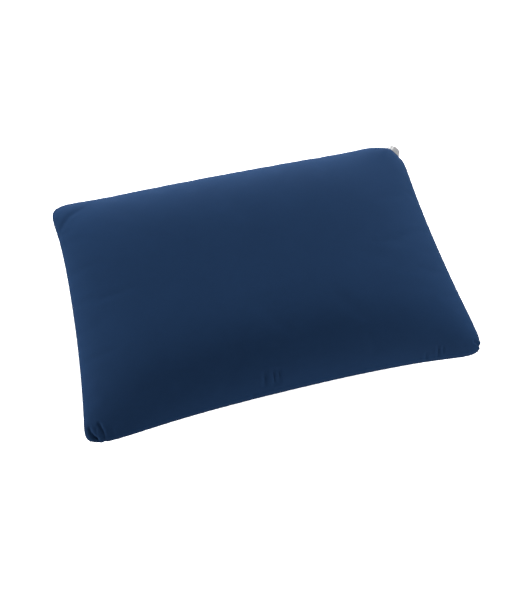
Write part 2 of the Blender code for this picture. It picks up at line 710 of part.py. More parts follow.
def build_valve_base(valve):
    """Weld insert, threaded stem and the fixed plug held by a bar across the bore."""
    base = add_object("valve_base", boat_prism(0.0, BOAT_INNER, BOAT_OUTER), VALVE_GREY, 0.45,
                      parent=valve)
    stem = lathe(stem_profile(), FINE_SEGMENTS)
    boolean(base, "UNION", add_object("stem_shape", stem, parent=valve))
    rib = thread(STEM_RADIUS - THREAD_SINK, THREAD_CREST, THREAD_START)
    boolean(base, "UNION", add_object("stem_thread", rib, parent=valve))
    bottom = BOAT_INNER - STEM_FLOOR
    top = STEM_END + STEM_FLOOR
    bore = lathe([(0, bottom), (STEM_BORE, bottom), (STEM_BORE, top), (0, top)], FINE_SEGMENTS)
    boolean(base, "DIFFERENCE", add_object("bore_cutter", bore, parent=valve))
    reach = STEM_BORE + BAR_HALF_WIDTH
    bar = box((-reach, -BAR_HALF_WIDTH, ORING_AT - BAR_BELOW),
              (reach, BAR_HALF_WIDTH, ORING_AT + BAR_ABOVE))
    boolean(base, "UNION", add_object("plug_bar", bar, parent=valve))
    root = ORING_AT - PLUG_ROOT
    plug = lathe([(0, root), (PLUG_ROD, root), (PLUG_ROD, PLUG_INNER), (STEM_BORE, PLUG_INNER),
                  (STEM_BORE, PLUG_OUTER), (PLUG_TIP_RADIUS, PLUG_OUTER),
                  (PLUG_TIP_RADIUS, PLUG_TIP), (0, PLUG_TIP)], COARSE_SEGMENTS)
    boolean(base, "UNION", add_object("plug_shape", plug, parent=valve))


def build_valve_seals(valve):
    """Stem O-ring, the plug's face seal and the free washer inside the knob."""
    ring = []
    for k in range(ORING_SIDES):
        angle = 2 * math.pi * k / ORING_SIDES
        ring.append((ORING_MAJOR + ORING_MINOR * math.cos(angle),
                     ORING_AT + ORING_MINOR * math.sin(angle)))
    add_object("valve_stem_oring", lathe(ring, FINE_SEGMENTS), RUBBER_DARK, 0.6, parent=valve)
    (near, far), (low, high) = SEAL_RADII, SEAL_HEIGHTS
    seal = [(near, low), (far, low), (far, high - SEAL_BEVEL), (far - SEAL_BEVEL, high),
            (near + SEAL_BEVEL, high), (near, high - SEAL_BEVEL)]
    add_object("valve_plug_seal", lathe(seal, FINE_SEGMENTS), RUBBER_DARK, 0.6, parent=valve)
    (near, far), (low, high) = WASHER_RADII, WASHER_HEIGHTS
    washer = [(near, low), (far, low), (far, high), (near, high)]
    add_object("valve_seal_washer", lathe(washer, FINE_SEGMENTS), LABEL_WHITE, 0.4, parent=valve)


def flute(radius, angle):
    """Grip flutes round the knob; inner radii stay round."""
    if radius < FLUTED_SHARE * KNOB_RADIUS:
        return radius
    return radius - FLUTE_DEPTH * (0.5 - 0.5 * math.cos(FLUTES * angle))


def build_knob(valve):
    """Fluted twist knob with a mouth hole, a bore and an internal thread."""
    inner_face = KNOB_FACE - FACE_THICKNESS
    step = FACE_BEVEL_STEP
    profile = [(MOUTH_HOLE, KNOB_FACE - step), (MOUTH_HOLE + step, KNOB_FACE),
               (KNOB_RADIUS - FACE_BEVEL, KNOB_FACE), (KNOB_RADIUS - step, KNOB_FACE - step),
               (KNOB_RADIUS, KNOB_FACE - FACE_BEVEL), (KNOB_RADIUS, KNOB_MOUTH + MOUTH_BEVEL),
               (KNOB_RADIUS - MOUTH_LIP, KNOB_MOUTH), (KNOB_BORE, KNOB_MOUTH),
               (KNOB_BORE, LEDGE_INNER), (LEDGE_RADIUS, LEDGE_INNER), (LEDGE_RADIUS, LEDGE_OUTER),
               (KNOB_BORE, LEDGE_OUTER), (KNOB_BORE, inner_face), (MOUTH_HOLE, inner_face)]
    knob = add_object("valve_knob", lathe(profile, 4 * FLUTES, flute), VALVE_GREY, 0.4,
                      parent=valve)
    rib = thread(KNOB_BORE + THREAD_SINK, KNOB_THREAD_CREST, THREAD_START - THREAD_LEAD / 2)
    boolean(knob, "UNION", add_object("knob_thread", rib, parent=valve))


def build():
    """Clears the scene and models the pillow."""
    for old in list(bpy.data.objects):
        bpy.data.objects.remove(old)
    tip, turn = valve_frame()
    valve = add_empty("valve_axis", tip, turn)
    bpy.context.view_layer.update()
    top = cover_panel("cover_top_panel", 1)
    bottom = cover_panel("cover_bottom_panel", -1)
    cut_cover(top, bottom, valve)
    port_binding(valve)
    build_seams()
    care_label()
    build_zip()
    build_bladder(valve)
    build_foam(valve)
    build_valve_base(valve)
    build_valve_seals(valve)
    build_knob(valve)


build()
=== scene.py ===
"""Camp pillow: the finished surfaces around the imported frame.

Metres, in the frame's axes: +Z up, +X along the long side, +Y towards the zip. The soft pieces
and the knob are built finely here; the other hard parts are the frame's own nodes.
"""

import json
import math

import bmesh
import bpy
import numpy as np
from mathutils import Matrix, Vector
from mathutils.bvhtree import BVHTree


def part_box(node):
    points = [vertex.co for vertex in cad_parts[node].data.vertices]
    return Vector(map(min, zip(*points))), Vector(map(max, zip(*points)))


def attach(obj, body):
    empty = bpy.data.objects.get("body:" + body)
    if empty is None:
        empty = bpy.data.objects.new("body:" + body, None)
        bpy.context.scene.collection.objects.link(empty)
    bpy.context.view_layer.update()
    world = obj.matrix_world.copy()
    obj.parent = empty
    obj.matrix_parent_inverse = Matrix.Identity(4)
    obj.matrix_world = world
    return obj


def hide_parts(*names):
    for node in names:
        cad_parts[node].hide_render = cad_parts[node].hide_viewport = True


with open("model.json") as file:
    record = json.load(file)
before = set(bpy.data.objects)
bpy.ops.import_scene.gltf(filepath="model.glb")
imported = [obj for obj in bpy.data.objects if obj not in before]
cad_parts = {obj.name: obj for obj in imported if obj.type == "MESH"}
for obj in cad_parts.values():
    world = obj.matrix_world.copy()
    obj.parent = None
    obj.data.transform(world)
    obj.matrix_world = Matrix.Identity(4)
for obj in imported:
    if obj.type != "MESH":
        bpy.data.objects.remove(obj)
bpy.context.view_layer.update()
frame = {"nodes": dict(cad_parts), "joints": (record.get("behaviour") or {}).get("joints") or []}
PILLOW = "pillow"
TURN = 2 * math.pi

# ---- Places read from the frame
KNOB_JOINT = next(joint for joint in frame["joints"] if joint["name"] == "valve_knob_turn")
VALVE_TIP = Vector(KNOB_JOINT["pos_m"])
VALVE_AXIS = Vector(KNOB_JOINT["axis"]).normalized()
COVER_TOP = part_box("cover_top_panel")[1].z
COIL_LOW, COIL_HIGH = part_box("zip_coil_upper")
LOWER_COIL_LOW, LOWER_COIL_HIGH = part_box("zip_coil_lower")
TAPE_LOW, TAPE_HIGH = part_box("zip_tape_upper")

# ---- Pillow shape
SEAM_HEIGHT = 0.055
CORNER_SEAM_HEIGHT = VALVE_TIP.z
TOP_RISE = COVER_TOP - SEAM_HEIGHT
BOTTOM_DROP = 0.062
LENGTH_CROWN_POWER = 2.55  # a higher power makes a flatter middle and blunter sides
WIDTH_CROWN_POWER = 4.0
EDGE_POWER = 0.68
VALVE_EDGE_POWER = 0.5
VALVE_CORNER_SPREAD = 0.062
OUTLINE_SQUARENESS = 15.0
PULL_LEFT = 0.010  # how far each side is drawn in between its corners
PULL_RIGHT = 0.009
PULL_FRONT = 0.012
PULL_BACK = 0.006
PULL_POWER = 2.3
BACK_PULL_POWER = 4.0
CORNER_LOBES = (  # corner, how far it is moved along x and y, spread
    (-1, 1, -0.0043, 0.0043, 0.040),
    (-1, -1, -0.0036, 0.0016, 0.022),
    (1, -1, 0.0012, -0.0024, 0.045),
)
HALF_LENGTH = 0.230
HALF_WIDTH = 0.1545
TUCK = 0.0100  # how far the cover draws back round the valve
TUCK_WIDTH = (0.0150, 0.032)  # at and above the valve's height
TUCK_HEIGHT = (0.006, 0.020)  # where the one width turns into the other
TUCK_LENGTH = 0.035
FOLD_SENSE = 4  # how soon a pinched cell takes the corner's normal
CORNER_NORMAL_RISE = 0.3

COVER_THICKNESS = 0.0012
SEAM_GAP = 0.00015
SEAM_GROOVE_DEPTH = 0.0010
SEAM_GROOVE_WIDTH = 0.0012
COVER_CELLS_U = 320
COVER_CELLS_V = 224
GRID_CROWDING = 1.45
SMOOTH_ANGLE = math.radians(40)

# ---- Zip and port
SLOT_HALF = TAPE_HIGH.x + 0.003
SLOT_FLOOR = 0.0427
SLOT_ROW = 0.9757  # grid position of the slot's lower edge
SLOT_BLEND = 0.80  # the grid starts to bend towards it here
SLOT_HOLD = 0.004  # the edge stays level this far past the slot's ends
HALVINGS = 40
PORT_RADIUS = 0.0122  # middle of the binding
PORT_HOLE = 0.0131  # hole in the knit under it
PORT_DEPTH = -0.02  # the hole reaches no further in along the valve
BINDING_RADIUS = 0.0013


# ---- Surface
def unit(vectors):
    """Vectors scaled to length 1."""
    return vectors / np.maximum(np.linalg.norm(vectors, axis=-1, keepdims=True), 1e-9)


def stations(cells, crowding):
    """Grid lines from -1 to 1, crowded towards both ends."""
    half = cells // 2
    steps = np.linspace(0, 1, half + 1) ** crowding
    return np.concatenate([steps - 1, (1 - steps[::-1])[1:]])


def plan(u, v, inset=0.0):
    """Plan position of (u, v); |u| or |v| is 1 on the outline, drawn in by inset."""
    rounding = (1 + np.abs(u * v) ** OUTLINE_SQUARENESS) ** (1 / OUTLINE_SQUARENESS)
    ru = u / rounding
    rv = v / rounding
    side = np.where(ru > 0, PULL_RIGHT, PULL_LEFT) * (1 - np.abs(rv) ** PULL_POWER)
    back = PULL_BACK * (1 - np.abs(ru) ** BACK_PULL_POWER)
    front = PULL_FRONT * (1 - np.abs(ru) ** PULL_POWER)
    end = np.where(rv > 0, back, front)
    x = ru * (HALF_LENGTH - inset) - np.sign(ru) * ru * ru * side
    y = rv * (HALF_WIDTH - inset) - np.sign(rv) * rv * rv * end
    for corner_u, corner_v, along_x, along_y, spread in CORNER_LOBES:
        away = np.hypot((u - corner_u) * HALF_LENGTH, (v - corner_v) * HALF_WIDTH) / spread
        share = np.exp(-away ** 2)
        x = x + along_x * share
        y = y + along_y * share
    return x, y


def seam_height(u, v):
    """The seam dips a little towards the corners."""
    return SEAM_HEIGHT + (CORNER_SEAM_HEIGHT - SEAM_HEIGHT) * u ** 4 * v ** 4


def crown(u, v):
    """Fullness, 0 on the outline and 1 in the middle, blunter at the valve corner."""
    a = np.clip(1 - np.abs(u) ** LENGTH_CROWN_POWER, 0, 1)
    b = np.clip(1 - np.abs(v) ** WIDTH_CROWN_POWER, 0, 1)
    plain = (a * b) ** EDGE_POWER
    blunt = (a * b / np.maximum(np.hypot(a, b), 1e-9)) ** VALVE_EDGE_POWER
    away = np.hypot((1 - u) * HALF_LENGTH, (1 - v) * HALF_WIDTH) / VALVE_CORNER_SPREAD
    return plain + (blunt - plain) * np.exp(-away * away)


def surface(u, v, side, inset=0.0, reduction=0.0, edge=SEAM_GAP, floor=0.0):
    """Points of a nested skin above (side 1) or below (side -1) the seam."""
    x, y = plan(u, v, inset)
    full = crown(u, v)
    if side > 0:
        z = seam_height(u, v) + edge + (TOP_RISE - reduction - edge) * full
    else:
        z = seam_height(u, v) - edge - (BOTTOM_DROP - reduction - edge) * full
        z = np.maximum(z, floor)
    return np.stack([x, y, z], axis=-1)


def tuck_in(points):
    """Draws the cover back along the valve's axis, near the valve corner."""
    outward = np.array(VALVE_AXIS)
    offset = points - np.array(VALVE_TIP)
    along = offset @ outward
    across = offset[..., 1] * outward[0] - offset[..., 0] * outward[1]
    low, high = TUCK_HEIGHT
    rise = np.clip((np.abs(offset[..., 2]) - low) / (high - low), 0, 1)
    rise = rise * rise * (3 - 2 * rise)
    width = TUCK_WIDTH[0] + (TUCK_WIDTH[1] - TUCK_WIDTH[0]) * rise
    behind = np.minimum(along, 0) / TUCK_LENGTH
    share = np.exp(-(across / width) ** 2 - behind * behind)
    return points - TUCK * share[..., None] * outward


def normals(points, u, v, side):
    """Outward unit normals of a grid; at the folded corners they point diagonally out."""
    du = np.gradient(points, axis=0)
    dv = np.gradient(points, axis=1)
    found = np.cross(du, dv) * side
    length = np.linalg.norm(found, axis=-1, keepdims=True)
    spans = np.linalg.norm(du, axis=-1) * np.linalg.norm(dv, axis=-1)
    sure = np.clip(length / np.maximum(spans[..., None], 1e-15) * FOLD_SENSE, 0, 1)
    rise = np.full_like(u, CORNER_NORMAL_RISE * side)
    diagonal = np.stack([np.sign(u), np.sign(v), rise], axis=-1)
    return unit(found / np.maximum(length, 1e-12) * sure + unit(diagonal) * (1 - sure))


def arc_lengths(points):
    """Distances across the fabric from the grid's middle, for the direction of the knit."""
    rows, columns = points.shape[:2]
    s, t = np.zeros((rows, columns)), np.zeros((rows, columns))
    s[1:] = np.cumsum(np.linalg.norm(np.diff(points, axis=0), axis=-1), axis=0)
    t[:, 1:] = np.cumsum(np.linalg.norm(np.diff(points, axis=1), axis=-1), axis=1)
    return s - s[rows // 2], t - t[:, columns // 2, None]


# ---- Mesh helpers
def add_object(name, data):
    """A new object in the scene."""
    made = bpy.data.objects.new(name, data)
    bpy.context.scene.collection.objects.link(made)
    return made


def add_mesh(name, vertices, faces, material, uv=None):
    """A smooth-shaded mesh object with one material."""
    mesh = bpy.data.meshes.new(name)
    mesh.from_pydata([tuple(p) for p in vertices], [], faces)
    mesh.validate()
    if uv is not None:
        layer = mesh.uv_layers.new(name="fabric")
        loops = np.zeros(len(mesh.loops), dtype=np.int32)
        mesh.loops.foreach_get("vertex_index", loops)
        layer.data.foreach_set("uv", np.asarray(uv, dtype=np.float32)[loops].ravel())
    mesh.shade_smooth()
    mesh.set_sharp_from_angle(angle=SMOOTH_ANGLE)
    mesh.materials.append(material)
    return add_object(name, mesh)


def cell_corners(grid):
    """The values at the four corners of every cell of a grid, in order round the cell."""
    return grid[:-1, :-1], grid[1:, :-1], grid[1:, 1:], grid[:-1, 1:]


def shell(outer, inner, keep):
    """Closed solid between two equal grids over the cells that are kept."""
    rows, columns = outer.shape[:2]
    below = rows * columns
    corners = np.stack(cell_corners(np.arange(below).reshape(rows, columns)), axis=-1)
    padded = np.pad(keep, 1)
    skins, walls = [], []
    for i, j in np.argwhere(keep):
        a, b, c, d = corners[i, j]
        skins += [(a, b, c, d), (d + below, c + below, b + below, a + below)]
        around = ((padded[i + 1, j], a, b), (padded[i + 2, j + 1], b, c),
                  (padded[i + 1, j + 2], c, d), (padded[i, j + 1], d, a))
        walls += [(q, p, p + below, q + below) for kept, p, q in around if not kept]
    points = np.concatenate([outer.reshape(-1, 3), inner.reshape(-1, 3)])
    return compact(points, skins + walls)


def compact(points, faces):
    """Drops the points that no face uses; also returns which were kept."""
    used = np.unique(np.concatenate([np.asarray(face) for face in faces]))
    renumber = np.full(len(points), -1)
    renumber[used] = np.arange(len(used))
    return points[used], [tuple(int(renumber[k]) for k in face) for face in faces], used


def orient(made):
    """Points every face outwards."""
    shape = bmesh.new()
    shape.from_mesh(made.data)
    bmesh.ops.recalc_face_normals(shape, faces=shape.faces)
    shape.to_mesh(made.data)
    shape.free()


def finish_piece(made, body=PILLOW, replaced=None):
    """Hides the replaced CAD node and puts the piece on the body that it rides on."""
    if replaced:
        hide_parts(replaced)
    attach(made, body)


def add_piece(name, shape, finish, replaced, body=PILLOW, uv=None):
    """A closed piece from its points and faces, finished and on its body."""
    made = add_mesh(name, *shape, finish, uv)
    orient(made)
    finish_piece(made, body, replaced)


# ---- Materials: a noise is (scale, detail) and a bump is (strength, depth)
def new_material(name):
    """A node material, with its node tree and its Principled shader."""
    made = bpy.data.materials.new(name)
    made.use_nodes = True
    return made, made.node_tree, made.node_tree.nodes["Principled BSDF"]


def set_inputs(tree, made, inputs):
    """Sets inputs of a node; each is a socket to link or a value."""
    for key, value in inputs.items():
        if isinstance(value, bpy.types.NodeSocket):
            tree.links.new(value, made.inputs[key])
        else:
            made.inputs[key].default_value = value


def node(tree, kind, inputs=None, **settings):
    """Adds a node with its settings and inputs."""
    made = tree.nodes.new(kind)
    for key, value in settings.items():
        setattr(made, key, value)
    set_inputs(tree, made, inputs or {})
    return made


def maths(tree, operation, a, b=0.0):
    """Result of one math node."""
    return node(tree, "ShaderNodeMath", {0: a, 1: b}, operation=operation).outputs[0]


def times(tree, a, b):
    return maths(tree, "MULTIPLY", a, b)


def plus(tree, a, b):
    return maths(tree, "ADD", a, b)


def wave(tree, place, pitch):
    """Sine of a place, with the given length of a wave."""
    return maths(tree, "SINE", times(tree, place, TURN / pitch))


def noise(tree, place, grain):
    """Noise texture of a (scale, detail) grain."""
    scale, detail = grain
    return node(tree, "ShaderNodeTexNoise",
                {"Vector": place, "Scale": scale, "Detail": detail}).outputs[0]


def bump(tree, height, strength, depth):
    """Normals tilted by a height."""
    return node(tree, "ShaderNodeBump",
                {"Height": height, "Strength": strength, "Distance": depth}).outputs[0]


def mix_colour(tree, factor, first, second):
    """Mixes two colours by a factor."""
    return node(tree, "ShaderNodeMix", {0: factor, 6: first, 7: second},
                data_type="RGBA").outputs[2]


def two_tone(tree, factor, colour, deeper):
    """A colour that varies with a darker share of itself."""
    return mix_colour(tree, factor, (*(deeper * c for c in colour), 1), (*colour, 1))


KNIT_DARK = (0.0074, 0.0198, 0.0495, 1)
KNIT_LIGHT = (0.0090, 0.0238, 0.0595, 1)
KNIT_SHEEN = (0.30, 0.55, 1.00, 1)
KNIT_SHEEN_WEIGHT = 0.02
KNIT_SHEEN_ROUGHNESS = 0.38
KNIT_GLOSS = 0.004
KNIT_ROUGHNESS = (0.58, 0.10)  # lowest value, how much the cloud adds
WALE_PITCH = 0.0009  # columns of stitches
COURSE_PITCH = 0.0007  # rows of stitches
WALE_SLANT = 1.3
WALE_HEIGHT, COURSE_HEIGHT, FUZZ_HEIGHT = 0.7, 0.35, 0.8
CLOUD, SPECK, FUZZ = (18.0, 4.0), (420.0, 2.0), (2600.0, 3.0)
CLOUD_SHARE, SPECK_SHARE = 0.7, 0.3
KNIT_BUMP = (0.35, 0.00012)


def knit_material(name, dark=KNIT_DARK, light=KNIT_LIGHT):
    """Fine brushed jersey: wales and courses in relief, soft sheen, uneven dye."""
    made, tree, shader = new_material(name)
    fabric = node(tree, "ShaderNodeUVMap", uv_map="fabric").outputs[0]
    place = node(tree, "ShaderNodeTexCoord").outputs["Object"]
    across, along, _ = node(tree, "ShaderNodeSeparateXYZ", {0: fabric}).outputs
    wale = maths(tree, "ABSOLUTE", wave(tree, across, WALE_PITCH))
    row = times(tree, along, TURN / COURSE_PITCH)
    course = maths(tree, "SINE", plus(tree, row, times(tree, wale, WALE_SLANT)))
    stitches = plus(tree, times(tree, wale, WALE_HEIGHT), times(tree, course, COURSE_HEIGHT))
    cloud = noise(tree, place, CLOUD)
    tone = plus(tree, times(tree, cloud, CLOUD_SHARE),
                times(tree, noise(tree, place, SPECK), SPECK_SHARE))
    height = plus(tree, stitches, times(tree, noise(tree, place, FUZZ), FUZZ_HEIGHT))
    lowest, added = KNIT_ROUGHNESS
    set_inputs(tree, shader, {
        "Base Color": mix_colour(tree, tone, dark, light),
        "Normal": bump(tree, height, *KNIT_BUMP),
        "Roughness": plus(tree, times(tree, cloud, added), lowest),
        "Specular IOR Level": KNIT_GLOSS,
        "Sheen Weight": KNIT_SHEEN_WEIGHT,
        "Sheen Roughness": KNIT_SHEEN_ROUGHNESS,
        "Sheen Tint": KNIT_SHEEN})
    return made


MOULD_DRIFT, MOULD_GRAIN = (60.0, 3.0), (3200.0, 2.0)
MOULD_DEEPER = 0.86
MOULD_WORN = 0.16  # spread of the roughness
MOULD_BUMP = 0.25


def moulded_material(name, colour, roughness=0.42, grain=0.00004, gloss=0.3):
    """Moulded or cast surface: fine grain, slight shade drift and worn gloss."""
    made, tree, shader = new_material(name)
    place = node(tree, "ShaderNodeTexCoord").outputs["Object"]
    drift = noise(tree, place, MOULD_DRIFT)
    worn = plus(tree, times(tree, drift, MOULD_WORN), roughness - MOULD_WORN / 2)
    set_inputs(tree, shader, {
        "Base Color": two_tone(tree, drift, colour, MOULD_DEEPER),
        "Roughness": worn,
        "Normal": bump(tree, noise(tree, place, MOULD_GRAIN), MOULD_BUMP, grain),
        "Specular IOR Level": gloss})
    return made


WEAVE_CLOUD = (150.0, 3.0)
WEAVE_DEEPER = 0.7
WEAVE_BUMP = (0.5, 0.00015)


def woven_material(name, colour, pitch, roughness=0.7, sheen=0.03, gloss=0.05):
    """Woven tape, label, sheet or twisted thread: crossed threads in relief."""
    made, tree, shader = new_material(name)
    place = node(tree, "ShaderNodeTexCoord").outputs["Object"]
    x, y, z = node(tree, "ShaderNodeSeparateXYZ", {0: place}).outputs
    weave = times(tree, wave(tree, x, pitch), wave(tree, plus(tree, z, y), pitch))
    set_inputs(tree, shader, {
        "Base Color": two_tone(tree, noise(tree, place, WEAVE_CLOUD), colour, WEAVE_DEEPER),
        "Normal": bump(tree, weave, *WEAVE_BUMP),
        "Roughness": roughness,
        "Sheen Weight": sheen,
        "Specular IOR Level": gloss})
    return made


FOAM_PORES = 900.0
FOAM_CLOUD = (40.0, 4.0)
FOAM_DEEPER = 0.75
FOAM_BUMP = (0.7, 0.0005)
FOAM_ROUGHNESS = 0.95


def foam_material(name, colour):
    """Open-cell foam with pores in relief."""
    made, tree, shader = new_material(name)
    place = node(tree, "ShaderNodeTexCoord").outputs["Object"]
    pores = node(tree, "ShaderNodeTexVoronoi", {"Vector": place, "Scale": FOAM_PORES})
    set_inputs(tree, shader, {
        "Base Color": two_tone(tree, noise(tree, place, FOAM_CLOUD), colour, FOAM_DEEPER),
        "Normal": bump(tree, pores.outputs["Distance"], *FOAM_BUMP),
        "Roughness": FOAM_ROUGHNESS})
    return made


KNIT = knit_material("brushed_jersey")
BINDING = knit_material("elastic_binding", (0.0076, 0.0205, 0.051, 1),
                        (0.0090, 0.0243, 0.061, 1))
THREAD = woven_material("sewing_thread", (0.0170, 0.0440, 0.108), 0.0005, 0.6)
TAPE = woven_material("zip_tape", (0.012, 0.034, 0.080), 0.0007)
COIL = moulded_material("nylon_coil", (0.012, 0.030, 0.068), 0.45, gloss=0.12)
VALVE_PLASTIC = moulded_material("valve_plastic", (0.20, 0.201, 0.206), 0.42)
DARK_METAL = moulded_material("zip_metal", (0.016, 0.022, 0.036), 0.38, 0.00003, 0.35)
RUBBER = moulded_material("seal_rubber", (0.03, 0.03, 0.035), 0.6)
WASHER = moulded_material("washer_plastic", (0.78, 0.78, 0.76), 0.4)
SHEET = woven_material("coated_sheet", (0.10, 0.12, 0.15), 0.0005, 0.45, 0.0, 0.4)
FOAM = foam_material("open_cell_foam", (0.74, 0.68, 0.44))
LABEL = woven_material("label_weave", (0.78, 0.78, 0.75), 0.0004, 0.6)


# ---- Cloth simulation
SIM_CELLS_U = 96
SIM_CELLS_V = 64
SIM_CROWDING = 1.25
SIM_FRAMES = 20
SIM_PRESSURE = 4.0
SIM_QUALITY = 6
SIM_BENDING = 0.1
SIM_LOOSENESS = 0.012  # how much larger than its pattern the cloth is cut
SIM_CAP = 0.004  # largest ripple
SIM_RESTING = 0.0005  # points below this height lie on the ground and are held
RIPPLE_SHARE = 0.25  # tight stretch knit irons most ripples out
SIM_SMOOTHING = 14  # passes that find the broad swelling, which is left out


def welded_skins(us, vs):
    """One closed grid mesh of both skins, joined at the outline."""
    u, v = np.meshgrid(us, vs, indexing="ij")
    rows, columns = u.shape
    upper = surface(u, v, 1, edge=0.0).reshape(-1, 3)
    lower = surface(u, v, -1, edge=0.0).reshape(-1, 3)
    top_index = np.arange(rows * columns).reshape(rows, columns)
    low_index = top_index.copy()
    count = (rows - 2) * (columns - 2)
    low_index[1:-1, 1:-1] = rows * columns + np.arange(count).reshape(rows - 2, columns - 2)
    inner = top_index[1:-1, 1:-1].ravel()
    points = np.concatenate([upper, lower[inner]])
    above, below = (np.stack(cell_corners(index), axis=-1).reshape(-1, 4).tolist()
                    for index in (top_index, low_index))
    faces = [face for one, other in zip(above, below) for face in (one, other[::-1])]
    return points, faces, top_index, low_index


def smooth_grid(grid, passes):
    """Repeated averaging with the four neighbours; the outline stays put."""
    made = grid.copy()
    for _ in range(passes):
        inner = (made[:-2, 1:-1] + made[2:, 1:-1] + made[1:-1, :-2] + made[1:-1, 2:]) / 4
        made[1:-1, 1:-1] = 0.5 * made[1:-1, 1:-1] + 0.5 * inner
    return made


def simulate_cover():
    """Inflates the cover as cloth held at its seam; returns the ripples of both skins."""
    us = stations(SIM_CELLS_U, SIM_CROWDING)
    vs = stations(SIM_CELLS_V, SIM_CROWDING)
    points, faces, top_index, low_index = welded_skins(us, vs)
    mesh = bpy.data.meshes.new("cloth_grid")
    mesh.from_pydata([tuple(p) for p in points], [], faces)
    cloth_object = add_object("cloth_grid", mesh)
    held = cloth_object.vertex_groups.new(name="held")
    rim = set(top_index[0]) | set(top_index[-1]) | set(top_index[:, 0]) | set(top_index[:, -1])
    resting = set(np.flatnonzero(points[:, 2] < SIM_RESTING))
    held.add([int(k) for k in rim | resting], 1.0, "REPLACE")
    cloth = cloth_object.modifiers.new("inflate", "CLOTH")
    cloth.settings.quality = SIM_QUALITY
    cloth.settings.use_pressure = True
    cloth.settings.uniform_pressure_force = SIM_PRESSURE
    cloth.settings.effector_weights.gravity = 0.0
    cloth.settings.vertex_group_mass = "held"
    cloth.settings.shrink_min = -SIM_LOOSENESS
    cloth.settings.bending_stiffness = SIM_BENDING
    cloth.point_cache.frame_start = 1
    cloth.point_cache.frame_end = SIM_FRAMES
    for step in range(1, SIM_FRAMES + 1):
        bpy.context.scene.frame_set(step)
    evaluated = cloth_object.evaluated_get(bpy.context.evaluated_depsgraph_get())
    moved = np.zeros(len(points) * 3, dtype=np.float32)
    evaluated.data.vertices.foreach_get("co", moved)
    shift = moved.reshape(-1, 3).astype(float) - points
    bpy.data.objects.remove(cloth_object)
    bpy.context.scene.frame_set(1)
    ripples = {}
    for side, index in ((1, top_index), (-1, low_index)):
        grid = shift[index]
        fine = smooth_grid(grid, 1) - smooth_grid(grid, SIM_SMOOTHING)
        length = np.linalg.norm(fine, axis=-1, keepdims=True)
        fine *= np.minimum(1.0, SIM_CAP / np.maximum(length, 1e-9))
        ripples[side] = RIPPLE_SHARE * fine
    return us, vs, ripples


def cubic_weights(places, knots):
    """The four knots round each place, with their Catmull-Rom weights."""
    fractional = np.interp(places, knots, np.arange(len(knots)))
    base = np.clip(np.floor(fractional).astype(int), 0, len(knots) - 2)
    t = fractional - base
    weights = np.stack([-0.5 * t + t ** 2 - 0.5 * t ** 3, 1 - 2.5 * t ** 2 + 1.5 * t ** 3,
                        0.5 * t + 2 * t ** 2 - 1.5 * t ** 3, -0.5 * t ** 2 + 0.5 * t ** 3], -1)
    index = np.clip(base[..., None] + np.arange(-1, 3), 0, len(knots) - 1)
    return index, weights


def sample_grid(grid, us, vs, u, v):
    """Smoothly interpolated values of a coarse grid at many (u, v)."""
    iu, wu = cubic_weights(u, us)
    iv, wv = cubic_weights(v, vs)
    around = grid[iu[..., :, None], iv[..., None, :]]
    return np.einsum("...a,...b,...abk->...k", wu, wv, around)


SIMULATED = simulate_cover()


def ripples(u, v, side):
    if SIMULATED is None:
        return np.zeros((*u.shape, 3))
    us, vs, grids = SIMULATED
    return sample_grid(grids[side], us, vs, u, v)


# ---- Cover
PUCKER_DEPTH = 0.00022
PUCKER_REACH = 0.006
PUCKERS = ((0.0131, 0.4, 0.45), (0.0083, 2.1, 0.35), (0.0052, 4.0, 0.20))  # length, phase, share

# Creases as lines on the knit, with depth and half width, all in millimetres; then the lips'
# share of the depth, and how far the crease keeps deepening to its end, from 0 to 1.
CREASES = (
    # the ear at the back left, set off by a soft valley
    (((-190, 131, 68.5), (-197, 128.5, 66.5), (-205.1, 126.2, 64),
      (-212.3, 119.5, 62.2), (-218.8, 111.6, 58.8), (-221.5, 104, 56.5)),
     0.95, 4.6, 0.0, 0),
    (((-186, 124, 71), (-199, 120, 68), (-207, 113, 65.5),
      (-212, 104, 62)), 0.75, 10.5, 0.0, 0),
    # gathers that scallop the front left tip
    (((-219.7, -133, 55.7), (-219, -137, 54.3), (-217.4, -141.9, 54),
      (-215, -144.8, 53.5), (-213.8, -145.8, 51.5)), 2.8, 1.9, 0.15, 0.5),
    (((-208.5, -131.8, 61.1), (-207.1, -136.2, 59.4), (-206.4, -140.2, 57.5),
      (-206.5, -143.8, 54.4), (-206.7, -146.5, 51), (-206.7, -147, 41)),
     2.8, 1.8, 0.15, 1),
    (((-211.8, -133.5, 60.6), (-213.3, -138.5, 57.7)), 0.5, 1.4, 0.10, 0),
    (((-196, -140, 60), (-196.5, -148, 52)), 0.7, 2.2, 0.10, 0),
    # nick at the front right tip
    (((216, -138.5, 57), (222.8, -142.5, 52.5), (227.5, -146.5, 44)),
     2.2, 1.6, 0.30, 0),
    # short creases behind the front edge
    (((153, -140.5, 65), (153.5, -146.5, 58)), 0.8, 1.5, 0.20, 0),
    (((168.5, -137.5, 67), (167.9, -146.2, 58.5)), 1, 1.5, 0.20, 0),
    (((174.6, -138.5, 65.5), (174, -144.2, 61)), 0.8, 1.4, 0.20, 0),
    # faint drag lines in the middle of the front edge
    (((-29.7, -125.4, 81.9), (-31.9, -137, 69)), 1, 1.8, 0.20, 0),
    (((-19.9, -124.8, 82.2), (-20.4, -137, 69)), 1.5, 1.8, 0.20, 0),
    (((-14.6, -125, 82.1), (-15.5, -137, 69)), 1.3, 1.8, 0.20, 0),
    (((-44.6, -140, 64), (-44.7, -142.5, 57)), 0.8, 1.6, 0.10, 0),
)
CREASE_START = 0.12  # a crease is a half sine of its length, cut off at both ends
CREASE_SPAN = 0.76
CREASE_OPEN = 0.38  # taken off the span of a crease that deepens to its end
CREASE_FADE = 0.7
LIP_PLACE = 2.1  # in half widths of the crease
LIP_WIDTH = 1.1


